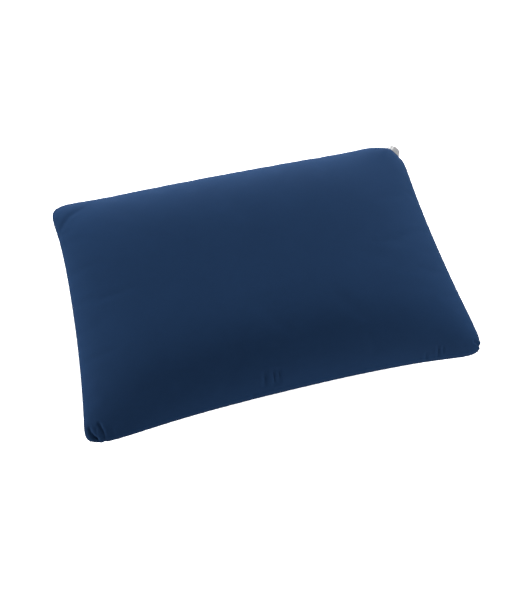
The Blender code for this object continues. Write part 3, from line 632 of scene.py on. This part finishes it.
def slot_line(u):
    """Grid position v where the bottom panel is at the height of the slot's lower edge."""
    x = plan(u, np.ones_like(u))[0]
    reach = SLOT_HALF + SLOT_HOLD
    held = np.where(np.abs(x) > reach, np.sign(u) * reach / HALF_LENGTH, u)
    low, high = np.full_like(u, SLOT_BLEND), np.ones_like(u)
    for _ in range(HALVINGS):
        middle = (low + high) / 2
        above = surface(held, middle, -1)[..., 2] < SLOT_FLOOR
        low = np.where(above, middle, low)
        high = np.where(above, high, middle)
    return (low + high) / 2


def bottom_rows(us, ts):
    """v of every grid point of the bottom panel, with one row along the slot's lower edge."""
    line = slot_line(us)[:, None]
    t = ts[None, :]
    below = np.clip((t - SLOT_BLEND) / (SLOT_ROW - SLOT_BLEND), 0, 1)
    above = np.clip((1 - t) / (1 - SLOT_ROW), 0, 1)
    return t + (line - SLOT_ROW) * np.where(t <= SLOT_ROW, below * below, above)


def valve_polar(points):
    """Distance from the valve's axis, position along it, and the way out from it."""
    relative = points - np.array(VALVE_TIP)
    along = relative @ np.array(VALVE_AXIS)
    radial = relative - along[..., None] * np.array(VALVE_AXIS)
    return np.linalg.norm(radial, axis=-1), along, radial


def touched(cells):
    """Grid points that a marked cell touches."""
    return np.any(cell_corners(np.pad(cells, 1)), axis=0)


def open_port(points, keep):
    """Drops the cells inside the port and pulls the hole's edge onto a circle."""
    radius, along, _ = valve_polar(points)
    inside = (radius < PORT_HOLE) & (along > PORT_DEPTH)
    dropped = np.any(cell_corners(inside), axis=0)
    keep &= ~dropped
    rim = touched(dropped) & touched(keep)
    pull_to_port(points, rim)
    return rim


def pull_to_port(points, rim):
    """Moves the rim's points straight out from the valve's axis, onto the port's circle."""
    radius, _, radial = valve_polar(points)
    pull = (PORT_HOLE / np.maximum(radius, 1e-9) - 1)[..., None] * radial
    points[rim] += pull[rim]


def pucker(points, u, v):
    """Small gathers that run off the seam, from sines of uneven length along it."""
    run = np.where(np.abs(u) > np.abs(v), points[..., 1], points[..., 0])
    gathers = sum(share * np.sin(TURN * run / length + phase) for length, phase, share in PUCKERS)
    off_seam = np.abs(points[..., 2] - seam_height(u, v)) / PUCKER_REACH
    return PUCKER_DEPTH * gathers * np.exp(-off_seam ** 2) * (1 - np.exp(-(3 * off_seam) ** 2))


def crease_relief(points):
    """Sharp valleys with raised lips along the creases."""
    relief = np.zeros(points.shape[:2])
    for line, depth, width, lip, deepens in CREASES:
        line, depth, width = np.array(line) / 1000, depth / 1000, width / 1000
        nearest = np.full(points.shape[:2], 1.0)
        share = np.zeros(points.shape[:2])
        lengths = np.linalg.norm(np.diff(line, axis=0), axis=1)
        gone = 0.0
        for a, b, length in zip(line, line[1:], lengths):
            t = np.clip((points - a) @ (b - a) / length ** 2, 0, 1)
            distance = np.linalg.norm(points - a - t[..., None] * (b - a), axis=-1)
            closer = distance < nearest
            nearest = np.where(closer, distance, nearest)
            share = np.where(closer, (gone + t * length) / lengths.sum(), share)
            gone += length
        run = CREASE_START + (CREASE_SPAN - CREASE_OPEN * deepens) * share
        strength = np.sin(math.pi * run) ** CREASE_FADE
        valley = np.exp(-(nearest / width) ** 2)
        sides = np.exp(-((nearest - LIP_PLACE * width) / (LIP_WIDTH * width)) ** 2)
        relief += depth * strength * (lip * sides - valley)
    return relief


def seam_relief(points, u, v):
    """The valley that the seam pulls into the knit."""
    off_seam = np.abs(points[..., 2] - seam_height(u, v)) / SEAM_GROOVE_WIDTH
    return -SEAM_GROOVE_DEPTH * np.exp(-off_seam ** 2)


def ease_tips(grid):
    """Puts the four corner points of a grid between their neighbours."""
    for i, near_i in ((0, 1), (-1, -2)):
        for j, near_j in ((0, 1), (-1, -2)):
            grid[i, j] = (grid[near_i, j] + grid[i, near_j]) / 2


US = stations(COVER_CELLS_U, GRID_CROWDING)
TS = np.unique(np.append(stations(COVER_CELLS_V, GRID_CROWDING), SLOT_ROW))


def cover_panel(name, side, v, replaced):
    """Adds one knit panel as a closed skin; returns its outer grid without its openings."""
    u = np.repeat(US[:, None], len(TS), axis=1)
    base = tuck_in(surface(u, v, side)) + ripples(u, v, side)
    out = normals(base, u, v, side)
    relief = seam_relief(base, u, v) + pucker(base, u, v) + crease_relief(base)
    outer = base + out * relief[..., None]
    inner = outer - out * COVER_THICKNESS
    ease_tips(outer)
    ease_tips(inner)
    whole = outer.copy()
    keep = np.ones((len(US) - 1, len(TS) - 1), dtype=bool)
    if side < 0:
        middle_x = (outer[:-1, -1, 0] + outer[1:, -1, 0]) / 2
        slot_row = int(np.argmin(np.abs(TS - SLOT_ROW)))
        keep[np.abs(middle_x) < SLOT_HALF, slot_row:] = False
    pull_to_port(inner, open_port(outer, keep))
    points, faces, used = shell(outer, inner, keep)
    uv = np.stack(arc_lengths(base), axis=-1).reshape(-1, 2)
    add_piece(name, (points, faces), KNIT, replaced, uv=np.concatenate([uv, uv])[used])
    return whole


TOP_GRID = cover_panel("knit_top_panel", 1, np.repeat(TS[None, :], len(US), axis=0),
                       "cover_top_panel")
BOTTOM_GRID = cover_panel("knit_bottom_panel", -1, bottom_rows(US, TS), "cover_bottom_panel")


def grid_tree(grid):
    """Search tree over a grid of points."""
    rows, columns = grid.shape[:2]
    faces = np.stack(cell_corners(np.arange(rows * columns).reshape(rows, columns)), axis=-1)
    return BVHTree.FromPolygons(grid.reshape(-1, 3).tolist(), faces.reshape(-1, 4).tolist())


KNIT_TREES = (grid_tree(TOP_GRID), grid_tree(BOTTOM_GRID))


def knit_hit(origin, direction):
    """Place, normal towards the ray and distance where a ray first meets the knit, or None."""
    origin, direction = Vector(origin), Vector(direction)
    hits = [tree.ray_cast(origin, direction) for tree in KNIT_TREES]
    hits = [hit for hit in hits if hit[0] is not None]
    if not hits:
        return None
    place, normal, _, distance = min(hits, key=lambda hit: hit[3])
    return place, -normal if normal.dot(direction) > 0 else normal, distance


# ---- Swept shapes
def sweep(sections, closed=False):
    """Points and faces of a tube through equal rings, capped unless it closes."""
    rings = len(sections)
    sides = len(sections[0])
    points = np.array([point for section in sections for point in section])
    faces = []
    for i in range(rings if closed else rings - 1):
        after = (i + 1) % rings
        for k in range(sides):
            m = (k + 1) % sides
            faces.append((i * sides + k, i * sides + m, after * sides + m, after * sides + k))
    if not closed:
        faces.append(tuple(range(sides - 1, -1, -1)))
        faces.append(tuple(range((rings - 1) * sides, rings * sides)))
    return points, faces


def tube(path, radius, sides, guide):
    """A round thread along a path; radius is one number or one for each point."""
    path = np.array(path, dtype=float)
    tangent = unit(np.gradient(path, axis=0))
    first = unit(np.cross(tangent, np.array(guide, dtype=float)))
    second = np.cross(tangent, first)
    angle = TURN * np.arange(sides) / sides
    radius = np.broadcast_to(radius, (len(path),))[:, None, None]
    ring = (np.cos(angle)[None, :, None] * first[:, None, :]
            + np.sin(angle)[None, :, None] * second[:, None, :])
    return sweep(path[:, None, :] + radius * ring)


def joined(parts):
    """Several point and face lists as one."""
    points, faces, count = [], [], 0
    for some_points, some_faces in parts:
        points.append(np.asarray(some_points))
        faces += [tuple(k + count for k in face) for face in some_faces]
        count += len(some_points)
    return np.concatenate(points), faces


def lathe(profile, segments, shaped):
    """Points and faces of a closed (radius, height) profile turned about Z."""
    angle = TURN * np.arange(segments) / segments
    sections = []
    for radius, height in profile:
        r = shaped(radius, angle)
        sections.append(np.stack([r * np.cos(angle), r * np.sin(angle),
                                  np.full(segments, height)], axis=-1))
    return sweep(sections, closed=True)


def rounded(profile, radius, steps=4, most=2.2):
    """Closed profile, every corner rounded by up to radius or 1 / most of its shorter side."""
    made = []
    corners = np.array(profile, dtype=float)
    for before, here, after in zip(np.roll(corners, 1, 0), corners, np.roll(corners, -1, 0)):
        sides = before - here, after - here
        reach = min(radius, *(np.linalg.norm(side) / most for side in sides))
        start, end = (here + side / np.linalg.norm(side) * reach for side in sides)
        for t in np.linspace(0, 1, steps + 1):
            made.append(tuple((1 - t) ** 2 * start + 2 * t * (1 - t) * here + t * t * end))
    return made


# ---- Valve
VALVE_ACROSS = Vector((-VALVE_AXIS.y, VALVE_AXIS.x, 0))
VALVE_FRAME = Matrix.Translation(VALVE_TIP) @ Matrix(
    (VALVE_ACROSS, Vector((0, 0, 1)), VALVE_AXIS)).transposed().to_4x4()
KNOB_RADIUS = 0.0100
KNOB_FACE = 0.0003
KNOB_MOUTH = -0.0157
KNOB_BORE = 0.0066
FACE_THICKNESS = 0.0018
MOUTH_HOLE = 0.0026
# The dished face from its hole to the grip: radius, depth
FACE_LINE = ((MOUTH_HOLE, 0.0004), (MOUTH_HOLE + 0.0010, 0.0001), (MOUTH_HOLE + 0.0014, 0.0004),
             (0.0068, 0.0004), (0.0073, 0), (0.0083, 0), (0.0094, 0.0007), (KNOB_RADIUS, 0.0019))
GRIP_STATIONS = (-0.0046, -0.0076, -0.0106)
MOUTH_BEVEL = (0.0009, 0.0010)  # across and along the knob
EDGE_ROUNDING = 0.0004
FLUTES = 12
FLUTE_DEPTH = 0.0004
FLUTED_FROM = 0.0089  # inner radii are round
FLUTE_SHARPNESS = 1.6
POINTS_PER_FLUTE = 12
BINDING_STEPS = 120
BINDING_SIDES = 14
BINDING_SMOOTHING = 6  # passes
RIB_PITCH = 0.0011  # ribs of the elastic binding
RIB_DEPTH = 0.00010
BINDING_CELL = 0.0006  # of fabric, across the binding
RAY_START = 0.05


def place_in_valve(points):
    """Points of the valve's own frame in the pillow's frame."""
    turn = np.array(VALVE_FRAME)
    return np.asarray(points) @ turn[:3, :3].T + turn[:3, 3]


def flute(radius, angle):
    """A radius of the knob at each angle, cut back in the flutes of its grip."""
    if radius < FLUTED_FROM:
        return np.full_like(angle, radius)
    share = min(1.0, (radius - FLUTED_FROM) / (KNOB_RADIUS - FLUTED_FROM))
    valley = (0.5 - 0.5 * np.cos(FLUTES * angle)) ** FLUTE_SHARPNESS
    return radius - FLUTE_DEPTH * share * valley


def add_knob():
    """Twist knob: fluted grip, dished face with a step round the mouth, hollow inside."""
    inner = KNOB_FACE - FACE_THICKNESS
    across, along = MOUTH_BEVEL
    profile = [(radius, KNOB_FACE - depth) for radius, depth in FACE_LINE]
    profile += [(KNOB_RADIUS, place) for place in (*GRIP_STATIONS, KNOB_MOUTH + along)]
    profile += [(KNOB_RADIUS - across, KNOB_MOUTH), (KNOB_BORE, KNOB_MOUTH),
                (KNOB_BORE, inner), (MOUTH_HOLE, inner)]
    points, faces = lathe(rounded(profile, EDGE_ROUNDING), POINTS_PER_FLUTE * FLUTES, flute)
    add_piece("twist_valve_knob", (place_in_valve(points), faces), VALVE_PLASTIC,
              "valve_knob", body="twist_knob")


def add_binding():
    """Ribbed elastic round the port; it lies on the edge of the knit."""
    angles = TURN * np.arange(BINDING_STEPS) / BINDING_STEPS
    starts = place_in_valve(np.stack([PORT_HOLE * np.cos(angles), PORT_HOLE * np.sin(angles),
                                      np.full(BINDING_STEPS, RAY_START)], axis=-1))
    depths = np.array([RAY_START - knit_hit(start, -VALVE_AXIS)[2] for start in starts])
    for _ in range(BINDING_SMOOTHING):
        depths = (np.roll(depths, 1) + 2 * depths + np.roll(depths, -1)) / 4
    ribs = round(PORT_RADIUS * TURN / RIB_PITCH)
    turn = TURN * np.arange(BINDING_SIDES) / BINDING_SIDES
    sections = []
    for angle, depth in zip(angles, depths):
        thick = BINDING_RADIUS - RIB_DEPTH * (0.5 + 0.5 * math.cos(ribs * angle))
        radius = PORT_RADIUS + thick * np.cos(turn)
        sections.append(place_in_valve(np.stack(
            [radius * math.cos(angle), radius * math.sin(angle), depth + thick * np.sin(turn)],
            axis=-1)))
    uv = np.stack([np.repeat(angles * PORT_RADIUS, BINDING_SIDES),
                   np.tile(np.arange(BINDING_SIDES) * BINDING_CELL, BINDING_STEPS)], axis=-1)
    add_piece("port_binding", sweep(sections, closed=True), BINDING,
              "valve_port_binding", uv=uv)


add_knob()
add_binding()


# ---- Zip
FACE_Y = TAPE_HIGH.y
BACK_Y = TAPE_LOW.y
ZIP_HALF = TAPE_HIGH.x
ZIP_Z = (COIL_LOW.z + LOWER_COIL_HIGH.z) / 2
COIL_Y = (COIL_LOW.y + COIL_HIGH.y) / 2
COIL_HALF = COIL_HIGH.x
COIL_PITCH = 0.00128
COIL_WIRE = 0.00027
COIL_REACH_Y = 0.00070
COIL_REACH_Z = 0.00085
COIL_OFFSET = 0.00158
COIL_STEPS = 14  # points on each turn
COIL_SIDES = 7
COIL_END_GAP = 0.0005
TAPE_CELL = 0.0012
TAPE_CELL_ACROSS = 0.0006
TAPE_RIB_PITCH = 0.0024
TAPE_RIB_HEIGHT = 0.00006
LOWER_TAPE_RISE = 0.0020  # it ends this far above the lower coil's underside
LOWER_TAPE_KNEE = ((0.0, 0.0039), (0.0032, 0.0056), (0.0072, 0.0120))  # inset, drop
STITCH_LENGTH = 0.0021
STITCH_PITCH = 0.0029
STITCH_RADIUS = 0.00021
STITCH_SINK = 0.00005
STITCH_ARCH = 1.3
STITCH_THIN = 0.28  # how much thinner a stitch is at its ends
STITCH_POINTS = 7
STITCH_SIDES = 7
TOPSTITCH_END = SLOT_HALF + 0.0022
TOPSTITCH_TOP = SEAM_HEIGHT + 0.0030
TOPSTITCH_LOW = SLOT_FLOOR - 0.0024
END_ROW_TOP = SEAM_HEIGHT - 0.001
BAR_TACKS = 9
BAR_TACK_PITCH = 0.0012
BAR_TACK_HALF = 0.0012
BAR_TACK_SKEW = 0.0005


def add_tape(name, profile, replaced):
    """Woven tape: a thin ribbed strip, bent along its (y, z) profile."""
    columns = int(round(2 * ZIP_HALF / TAPE_CELL))
    xs = np.linspace(-ZIP_HALF, ZIP_HALF, columns + 1)
    dense = []
    for (y0, z0), (y1, z1) in zip(profile, profile[1:]):
        count = max(2, int(math.hypot(y1 - y0, z1 - z0) / TAPE_CELL_ACROSS))
        dense += [(y0 + (y1 - y0) * k / count, z0 + (z1 - z0) * k / count) for k in range(count)]
    dense.append(profile[-1])
    front = np.zeros((columns + 1, len(dense), 3))
    front[..., 0] = xs[:, None]
    front[..., 1:] = dense
    back = front.copy()
    back[..., 1] -= FACE_Y - BACK_Y
    front[..., 1] += TAPE_RIB_HEIGHT * (np.sin(TURN * xs / TAPE_RIB_PITCH)[:, None] - 1)
    keep = np.ones((columns, len(dense) - 1), dtype=bool)
    add_piece(name, shell(front, back, keep)[:2], TAPE, replaced)


def add_coil(name, sign, phase, replaced):
    """Nylon coil: a flattened helix whose turns stand between those of the other side."""
    steps = int(2 * COIL_HALF / COIL_PITCH * COIL_STEPS)
    x = np.linspace(-COIL_HALF + COIL_END_GAP, COIL_HALF - COIL_END_GAP, steps)
    angle = TURN * (x / COIL_PITCH + phase)
    y = COIL_Y + COIL_REACH_Y * np.cos(angle)
    z = ZIP_Z + sign * (COIL_OFFSET + COIL_REACH_Z * np.sin(angle))
    wire = tube(np.stack([x, y, z], axis=-1), COIL_WIRE, COIL_SIDES, guide=(1, 0, 0))
    add_piece(name, wire, COIL, replaced)


def stitch(a, b, normal):
    """One stitch: a short thread that arches out of the knit and back in."""
    a, b, normal = np.array(a), np.array(b), np.array(normal)
    t = np.linspace(0, 1, STITCH_POINTS)
    swell = np.sin(math.pi * t)
    arch = swell ** 0.5 * (STITCH_RADIUS + STITCH_SINK) * STITCH_ARCH - STITCH_RADIUS
    path = a + t[:, None] * (b - a) + arch[:, None] * normal
    thick = STITCH_RADIUS * (1 - STITCH_THIN + STITCH_THIN * swell)
    return tube(path, thick, STITCH_SIDES, guide=normal)


def stitch_row(ends):
    """Stitches between pairs of (x, z) places, on the knit that faces +Y."""
    hits = [knit_hit((x, FACE_Y + RAY_START, z), (0, -1, 0)) for x, z in ends]
    return [stitch(first[0], second[0], first[1])
            for first, second in zip(hits[0::2], hits[1::2]) if first and second]


def row_ends(start, end):
    """Alternating ends of the stitches between two (x, z) places."""
    start, end = np.array(start), np.array(end)
    length = np.linalg.norm(end - start)
    unit = (end - start) / length
    return [start + unit * (k * STITCH_PITCH + along)
            for k in range(int(length / STITCH_PITCH)) for along in (0, STITCH_LENGTH)]


def add_topstitching():
    """Rows that hold the zip under the knit, and bar tacks at both ends of the slot."""
    end, top, low = TOPSTITCH_END, TOPSTITCH_TOP, TOPSTITCH_LOW
    parts = stitch_row(row_ends((-end, top), (end, top)))
    parts += stitch_row(row_ends((-end, low), (end, low)))
    for x in (-end, end):
        parts += stitch_row(row_ends((x, low), (x, END_ROW_TOP)))
        for k in range(BAR_TACKS):
            z = low + BAR_TACK_PITCH * k
            skew = BAR_TACK_SKEW * (-1) ** k
            parts += stitch_row([(x - BAR_TACK_HALF, z + skew), (x + BAR_TACK_HALF, z - skew)])
    finish_piece(add_mesh("zip_topstitching", *joined(parts), THREAD))


UPPER_TAPE = [(FACE_Y, TAPE_LOW.z), (FACE_Y, TAPE_HIGH.z)]
LOWER_TAPE = [(FACE_Y, LOWER_COIL_LOW.z + LOWER_TAPE_RISE)]
LOWER_TAPE += [(FACE_Y - inset, ZIP_Z - drop) for inset, drop in LOWER_TAPE_KNEE]
add_tape("zip_tape_top", UPPER_TAPE, "zip_tape_upper")
add_tape("zip_tape_bottom", LOWER_TAPE, "zip_tape_lower")
add_coil("zip_teeth_top", 1, 0.0, "zip_coil_upper")
add_coil("zip_teeth_bottom", -1, 0.5, "zip_coil_lower")
add_topstitching()


# ---- Inside the cover
FLANGE_INSET = 0.0063
FLANGE_WIDTH = 0.0040
LAYER_GAP = 0.0006
SHEET_THICKNESS = 0.0008
FOAM_GAP = 0.0018
INNER_CELLS_U = 128
INNER_CELLS_V = 88
INNER_CROWDING = 1.4
INSERT_OUTER = -0.0175  # the valve's weld insert, along the valve's axis
INSERT_INNER = -0.0310
INSERT_HALF_WIDTH = 0.0170
INSERT_HALF_HEIGHT = 0.0085
INSERT_TIP_HALF = 0.0008
INSERT_MARGIN = 0.002
INSERT_REACH = 1.05  # the sheets are lifted this far across it, in half widths
SEAT_GAP = 0.0006
# The seam's two runs, as grid positions of their corners
OVERLOCK_RUNS = (((0.860, 1.0), (0.504, 1.0)),
                 ((-0.504, 1.0), (-1.0, 1.0), (-1.0, -1.0), (1.0, -1.0), (1.0, 0.79)))
OVERLOCK_STEP = 0.0009
OVERLOCK_BAND = ((0.0042, 0.0002), (0.0056, 0.0004))  # inset, half thickness
OVERLOCK_INSET = 0.0049
OVERLOCK_REACH = 0.00090
OVERLOCK_RISE = 0.000672
OVERLOCK_PITCH = 0.0021
OVERLOCK_POINTS = 12  # on each loop of the thread
OVERLOCK_THREAD = 0.00016
OVERLOCK_SIDES = 5
OVERLOCK_GUIDE = (0.3, 0.2, 1)  # no part of the thread runs this way
LABEL_ENDS = (-0.160, -0.130)
LABEL_LINE = ((0.0034, 0.0034), (0.0100, 0.0110), (0.0158, 0.0190))  # inset, drop
LABEL_THICKNESS = 0.0004
LABEL_WAVE = 0.00035
LABEL_WAVE_LENGTH = 0.021
LABEL_CELLS = (30, 24)


def clear_of_insert(points, side, gap):
    """Lifts a sheet clear of the weld insert, whose outline is thin at both tips."""
    _, along, _ = valve_polar(points)
    offset = points - np.array(VALVE_TIP)
    across = offset @ np.array(VALVE_ACROSS) / INSERT_HALF_WIDTH
    height = INSERT_TIP_HALF + (INSERT_HALF_HEIGHT - INSERT_TIP_HALF) * (1 - across ** 2)
    over = (np.abs(across) < INSERT_REACH) & (along > INSERT_INNER - INSERT_MARGIN)
    needed = np.maximum(height, INSERT_TIP_HALF) + gap
    lifted = np.maximum(side * offset[..., 2], needed) * side + VALVE_TIP.z
    points[..., 2] = np.where(over, lifted, points[..., 2])
    return points


def inner_skin(side, inset, reduction, edge, floor, flange=None):
    """Grid of a layer inside the cover, with a flat flange ring where asked."""
    us = stations(INNER_CELLS_U, INNER_CROWDING)
    vs = stations(INNER_CELLS_V, INNER_CROWDING)
    u, v = np.meshgrid(us, vs, indexing="ij")
    grid = surface(u, v, side, inset, reduction, edge, floor)
    if flange is None:
        return grid
    padded = np.pad(grid, ((1, 1), (1, 1), (0, 0)), mode="edge")
    wide_u, wide_v = np.pad(u, 1, mode="edge"), np.pad(v, 1, mode="edge")
    rim = surface(wide_u, wide_v, side, flange, reduction, edge, floor)
    for ring in (np.s_[0], np.s_[-1], np.s_[:, 0], np.s_[:, -1]):
        padded[ring] = rim[ring]
    return padded


def kept_behind(grid, limit):
    """Cells of a grid whose corners are all behind a plane across the valve's axis."""
    return np.all(cell_corners(valve_polar(grid)[1] < limit), axis=0)


def add_bladder(name, side, replaced):
    """Coated sheet with its weld flange, lifted over the valve's insert."""
    wall = COVER_THICKNESS + LAYER_GAP
    inset = FLANGE_INSET + FLANGE_WIDTH
    outer = inner_skin(side, inset, wall, SEAM_GAP + SHEET_THICKNESS, wall, FLANGE_INSET)
    inner = inner_skin(side, inset + SHEET_THICKNESS, wall + SHEET_THICKNESS, SEAM_GAP,
                       wall + SHEET_THICKNESS, FLANGE_INSET)
    clear_of_insert(outer, side, SEAT_GAP + SHEET_THICKNESS)
    clear_of_insert(inner, side, SEAT_GAP)
    keep = kept_behind(outer, INSERT_OUTER - SEAT_GAP)
    add_piece(name, shell(outer, inner, keep)[:2], SHEET, replaced)


def add_foam():
    """Foam core, cut back behind the valve's insert."""
    inset = FLANGE_INSET + FLANGE_WIDTH + SHEET_THICKNESS + FOAM_GAP
    depth = COVER_THICKNESS + SHEET_THICKNESS + 2 * LAYER_GAP
    upper = inner_skin(1, inset, depth, SEAM_GAP, 0.0)
    lower = inner_skin(-1, inset, depth, SEAM_GAP, depth)
    keep = kept_behind(upper, INSERT_INNER - INSERT_MARGIN)
    add_piece("foam_block", shell(upper, lower, keep)[:2], FOAM, "foam_core")


def add_overlock(name, run, replaced):
    """Seam allowance bound by looping thread."""
    uv = []
    for (u0, v0), (u1, v1) in zip(run, run[1:]):
        length = math.hypot((u1 - u0) * HALF_LENGTH, (v1 - v0) * HALF_WIDTH)
        t = np.arange(int(length / OVERLOCK_STEP)) * OVERLOCK_STEP / length
        uv.append(np.stack([u0 + (u1 - u0) * t, v0 + (v1 - v0) * t], axis=-1))
    u, v = np.concatenate(uv).T
    z = seam_height(u, v)

    def line(inset):
        return np.stack(plan(u, v, inset), axis=-1)

    (edge, thin), (root, thick) = OVERLOCK_BAND
    band = np.stack([np.column_stack([line(inset), z + half]) for inset, half in
                     ((edge, -thin), (root, -thick), (root, thick), (edge, thin))], axis=1)
    steps = np.linalg.norm(np.diff(line(OVERLOCK_INSET), axis=0), axis=1)
    run_length = np.concatenate([[0], np.cumsum(steps)])
    turns = np.arange(0, run_length[-1], OVERLOCK_PITCH / OVERLOCK_POINTS)
    angle = TURN * turns / OVERLOCK_PITCH
    inner, outer = (np.column_stack([np.interp(turns, run_length, column) for column in
                                     line(OVERLOCK_INSET + side * OVERLOCK_REACH).T])
                    for side in (1, -1))
    share = (0.5 + 0.5 * np.cos(angle))[:, None]
    height = np.interp(turns, run_length, z) + OVERLOCK_RISE * np.sin(angle)
    path = np.column_stack([inner * share + outer * (1 - share), height])
    thread = tube(path, OVERLOCK_THREAD, OVERLOCK_SIDES, guide=OVERLOCK_GUIDE)
    add_piece(name, joined([sweep(band), thread]), THREAD, replaced)


def add_label():
    """Blank ribbon with a slight wave, sewn into the seam beside the zip."""
    inset, drop = np.array(LABEL_LINE).T
    edge_y = plan(np.array(0.0), np.array(1.0))[1]
    columns, rows = LABEL_CELLS
    t = np.linspace(0, 1, rows + 1)
    knots = np.linspace(0, 1, len(LABEL_LINE))
    xs = np.linspace(*LABEL_ENDS, columns + 1)[:, None]
    front = np.zeros((columns + 1, rows + 1, 3))
    front[..., 0] = xs
    front[..., 1] = edge_y - np.interp(t, knots, inset)
    front[..., 1] += LABEL_WAVE * np.sin(TURN * xs / LABEL_WAVE_LENGTH) * t
    front[..., 2] = SEAM_HEIGHT - np.interp(t, knots, drop)
    back = front - (0, LABEL_THICKNESS, 0)
    keep = np.ones(LABEL_CELLS, dtype=bool)
    add_piece("care_ribbon", shell(front, back, keep)[:2], LABEL, "care_label")


add_bladder("bladder_sheet_top", 1, "bladder_top_sheet")
add_bladder("bladder_sheet_bottom", -1, "bladder_bottom_sheet")
add_foam()
add_overlock("overlock_valve_side", OVERLOCK_RUNS[0], "seam_overlock_valve_side")
add_overlock("overlock_main", OVERLOCK_RUNS[1], "seam_overlock_main")
add_label()


# ---- Hard parts carried over from the frame
EASED_EDGE = 0.00022
EASED_ANGLE = math.radians(40)
CARRIED = {
    "zip_slider": DARK_METAL, "zip_pull_tab": DARK_METAL, "zip_stop_left": DARK_METAL,
    "zip_stop_right": DARK_METAL, "valve_base": VALVE_PLASTIC, "valve_stem_oring": RUBBER,
    "valve_plug_seal": RUBBER, "valve_seal_washer": WASHER,
}

for name, finish in CARRIED.items():
    frame["nodes"][name].data.materials.clear()
    frame["nodes"][name].data.materials.append(finish)
for name in ("zip_slider", "zip_pull_tab"):
    eased = frame["nodes"][name].modifiers.new("eased_edges", "BEVEL")
    eased.width = EASED_EDGE
    eased.segments = 2
    eased.limit_method = "ANGLE"
    eased.angle_limit = EASED_ANGLE
    eased.harden_normals = False


# ---- Camera, light and floor
CAMERA_AZIMUTH = math.radians(20.1)
CAMERA_ELEVATION = math.radians(64.9)
CAMERA_ROLL = math.radians(6.1)
CAMERA_DISTANCE = 0.742
CAMERA_SHIFT = (0.0021, -0.0263)
AIM_HEIGHT = 0.050
LENS = 37.4
SENSOR_WIDTH = 36
CLIPPING = (0.01, 50)

SKY_LIGHT = 0.20
SKY_SEEN = 1.00  # how bright the surroundings look to the camera
FLOOR_GLOW = 0.72  # the pale table also glows, as the camera sees it
FLOOR_SIZE = 6.0
FLOOR_DROP = 0.0005
FLOOR_SHADE = 0.93
SOFT_BOXES = {  # place, size, power
    "back_low_light": ((0.1, 1.6, 0.45), (1.8, 0.5), 84.0),
    "back_right_light": ((1.1, 0.9, 0.6), (0.9, 0.5), 25.0),
    "left_light": ((-1.5, 0.2, 0.3), (0.8, 0.4), 38.0),
    "front_right_light": ((1.0, -1.1, 0.5), (0.9, 0.5), 27.0),
}


def add_camera():
    """Camera at the viewing angle of the product picture."""
    data = bpy.data.cameras.new("camera")
    data.lens = LENS
    data.sensor_width = SENSOR_WIDTH
    data.clip_start, data.clip_end = CLIPPING
    made = add_object("camera", data)
    turn = (Matrix.Rotation(-CAMERA_AZIMUTH, 4, "Z")
            @ Matrix.Rotation(math.pi / 2 - CAMERA_ELEVATION, 4, "X")
            @ Matrix.Rotation(CAMERA_ROLL, 4, "Z"))
    back = Matrix.Translation((*CAMERA_SHIFT, CAMERA_DISTANCE))
    made.matrix_world = Matrix.Translation((0, 0, AIM_HEIGHT)) @ turn @ back
    bpy.context.scene.camera = made


def add_light(name, place, size, power):
    """A soft rectangular light aimed at the pillow."""
    data = bpy.data.lights.new(name, "AREA")
    data.shape = "RECTANGLE"
    data.size, data.size_y = size
    data.energy = power
    made = add_object(name, data)
    made.location = place
    made.rotation_mode = "QUATERNION"
    aim = Vector((0, 0, AIM_HEIGHT)) - Vector(place)
    made.rotation_quaternion = aim.to_track_quat("-Z", "Y")


def seen_by_camera(tree):
    """1 for what the camera sees directly, 0 for all other light."""
    return node(tree, "ShaderNodeLightPath").outputs["Is Camera Ray"]


def add_stage():
    """Pale floor, pale surroundings and the soft lights."""
    paint, tree, shader = new_material("stage_paint")
    set_inputs(tree, shader, {
        "Base Color": (FLOOR_SHADE, FLOOR_SHADE, FLOOR_SHADE, 1),
        "Roughness": 0.9,
        "Specular IOR Level": 0.0,
        "Emission Color": (1, 1, 1, 1),
        "Emission Strength": times(tree, seen_by_camera(tree), FLOOR_GLOW)})
    corners = [(x * FLOOR_SIZE, y * FLOOR_SIZE, 0)
               for x, y in ((-1, -1), (1, -1), (1, 1), (-1, 1))]
    floor = add_mesh("floor", corners, [(0, 1, 2, 3)], paint)
    floor.location.z = -FLOOR_DROP
    world = bpy.data.worlds.new("studio")
    world.use_nodes = True
    tree = world.node_tree
    seen = times(tree, seen_by_camera(tree), SKY_SEEN - SKY_LIGHT)
    set_inputs(tree, tree.nodes["Background"], {0: (1, 1, 1, 1), 1: plus(tree, seen, SKY_LIGHT)})
    bpy.context.scene.world = world
    for name, (place, size, power) in SOFT_BOXES.items():
        add_light(name, place, size, power)
    bpy.context.scene.view_settings.view_transform = "Standard"


add_stage()
add_camera()
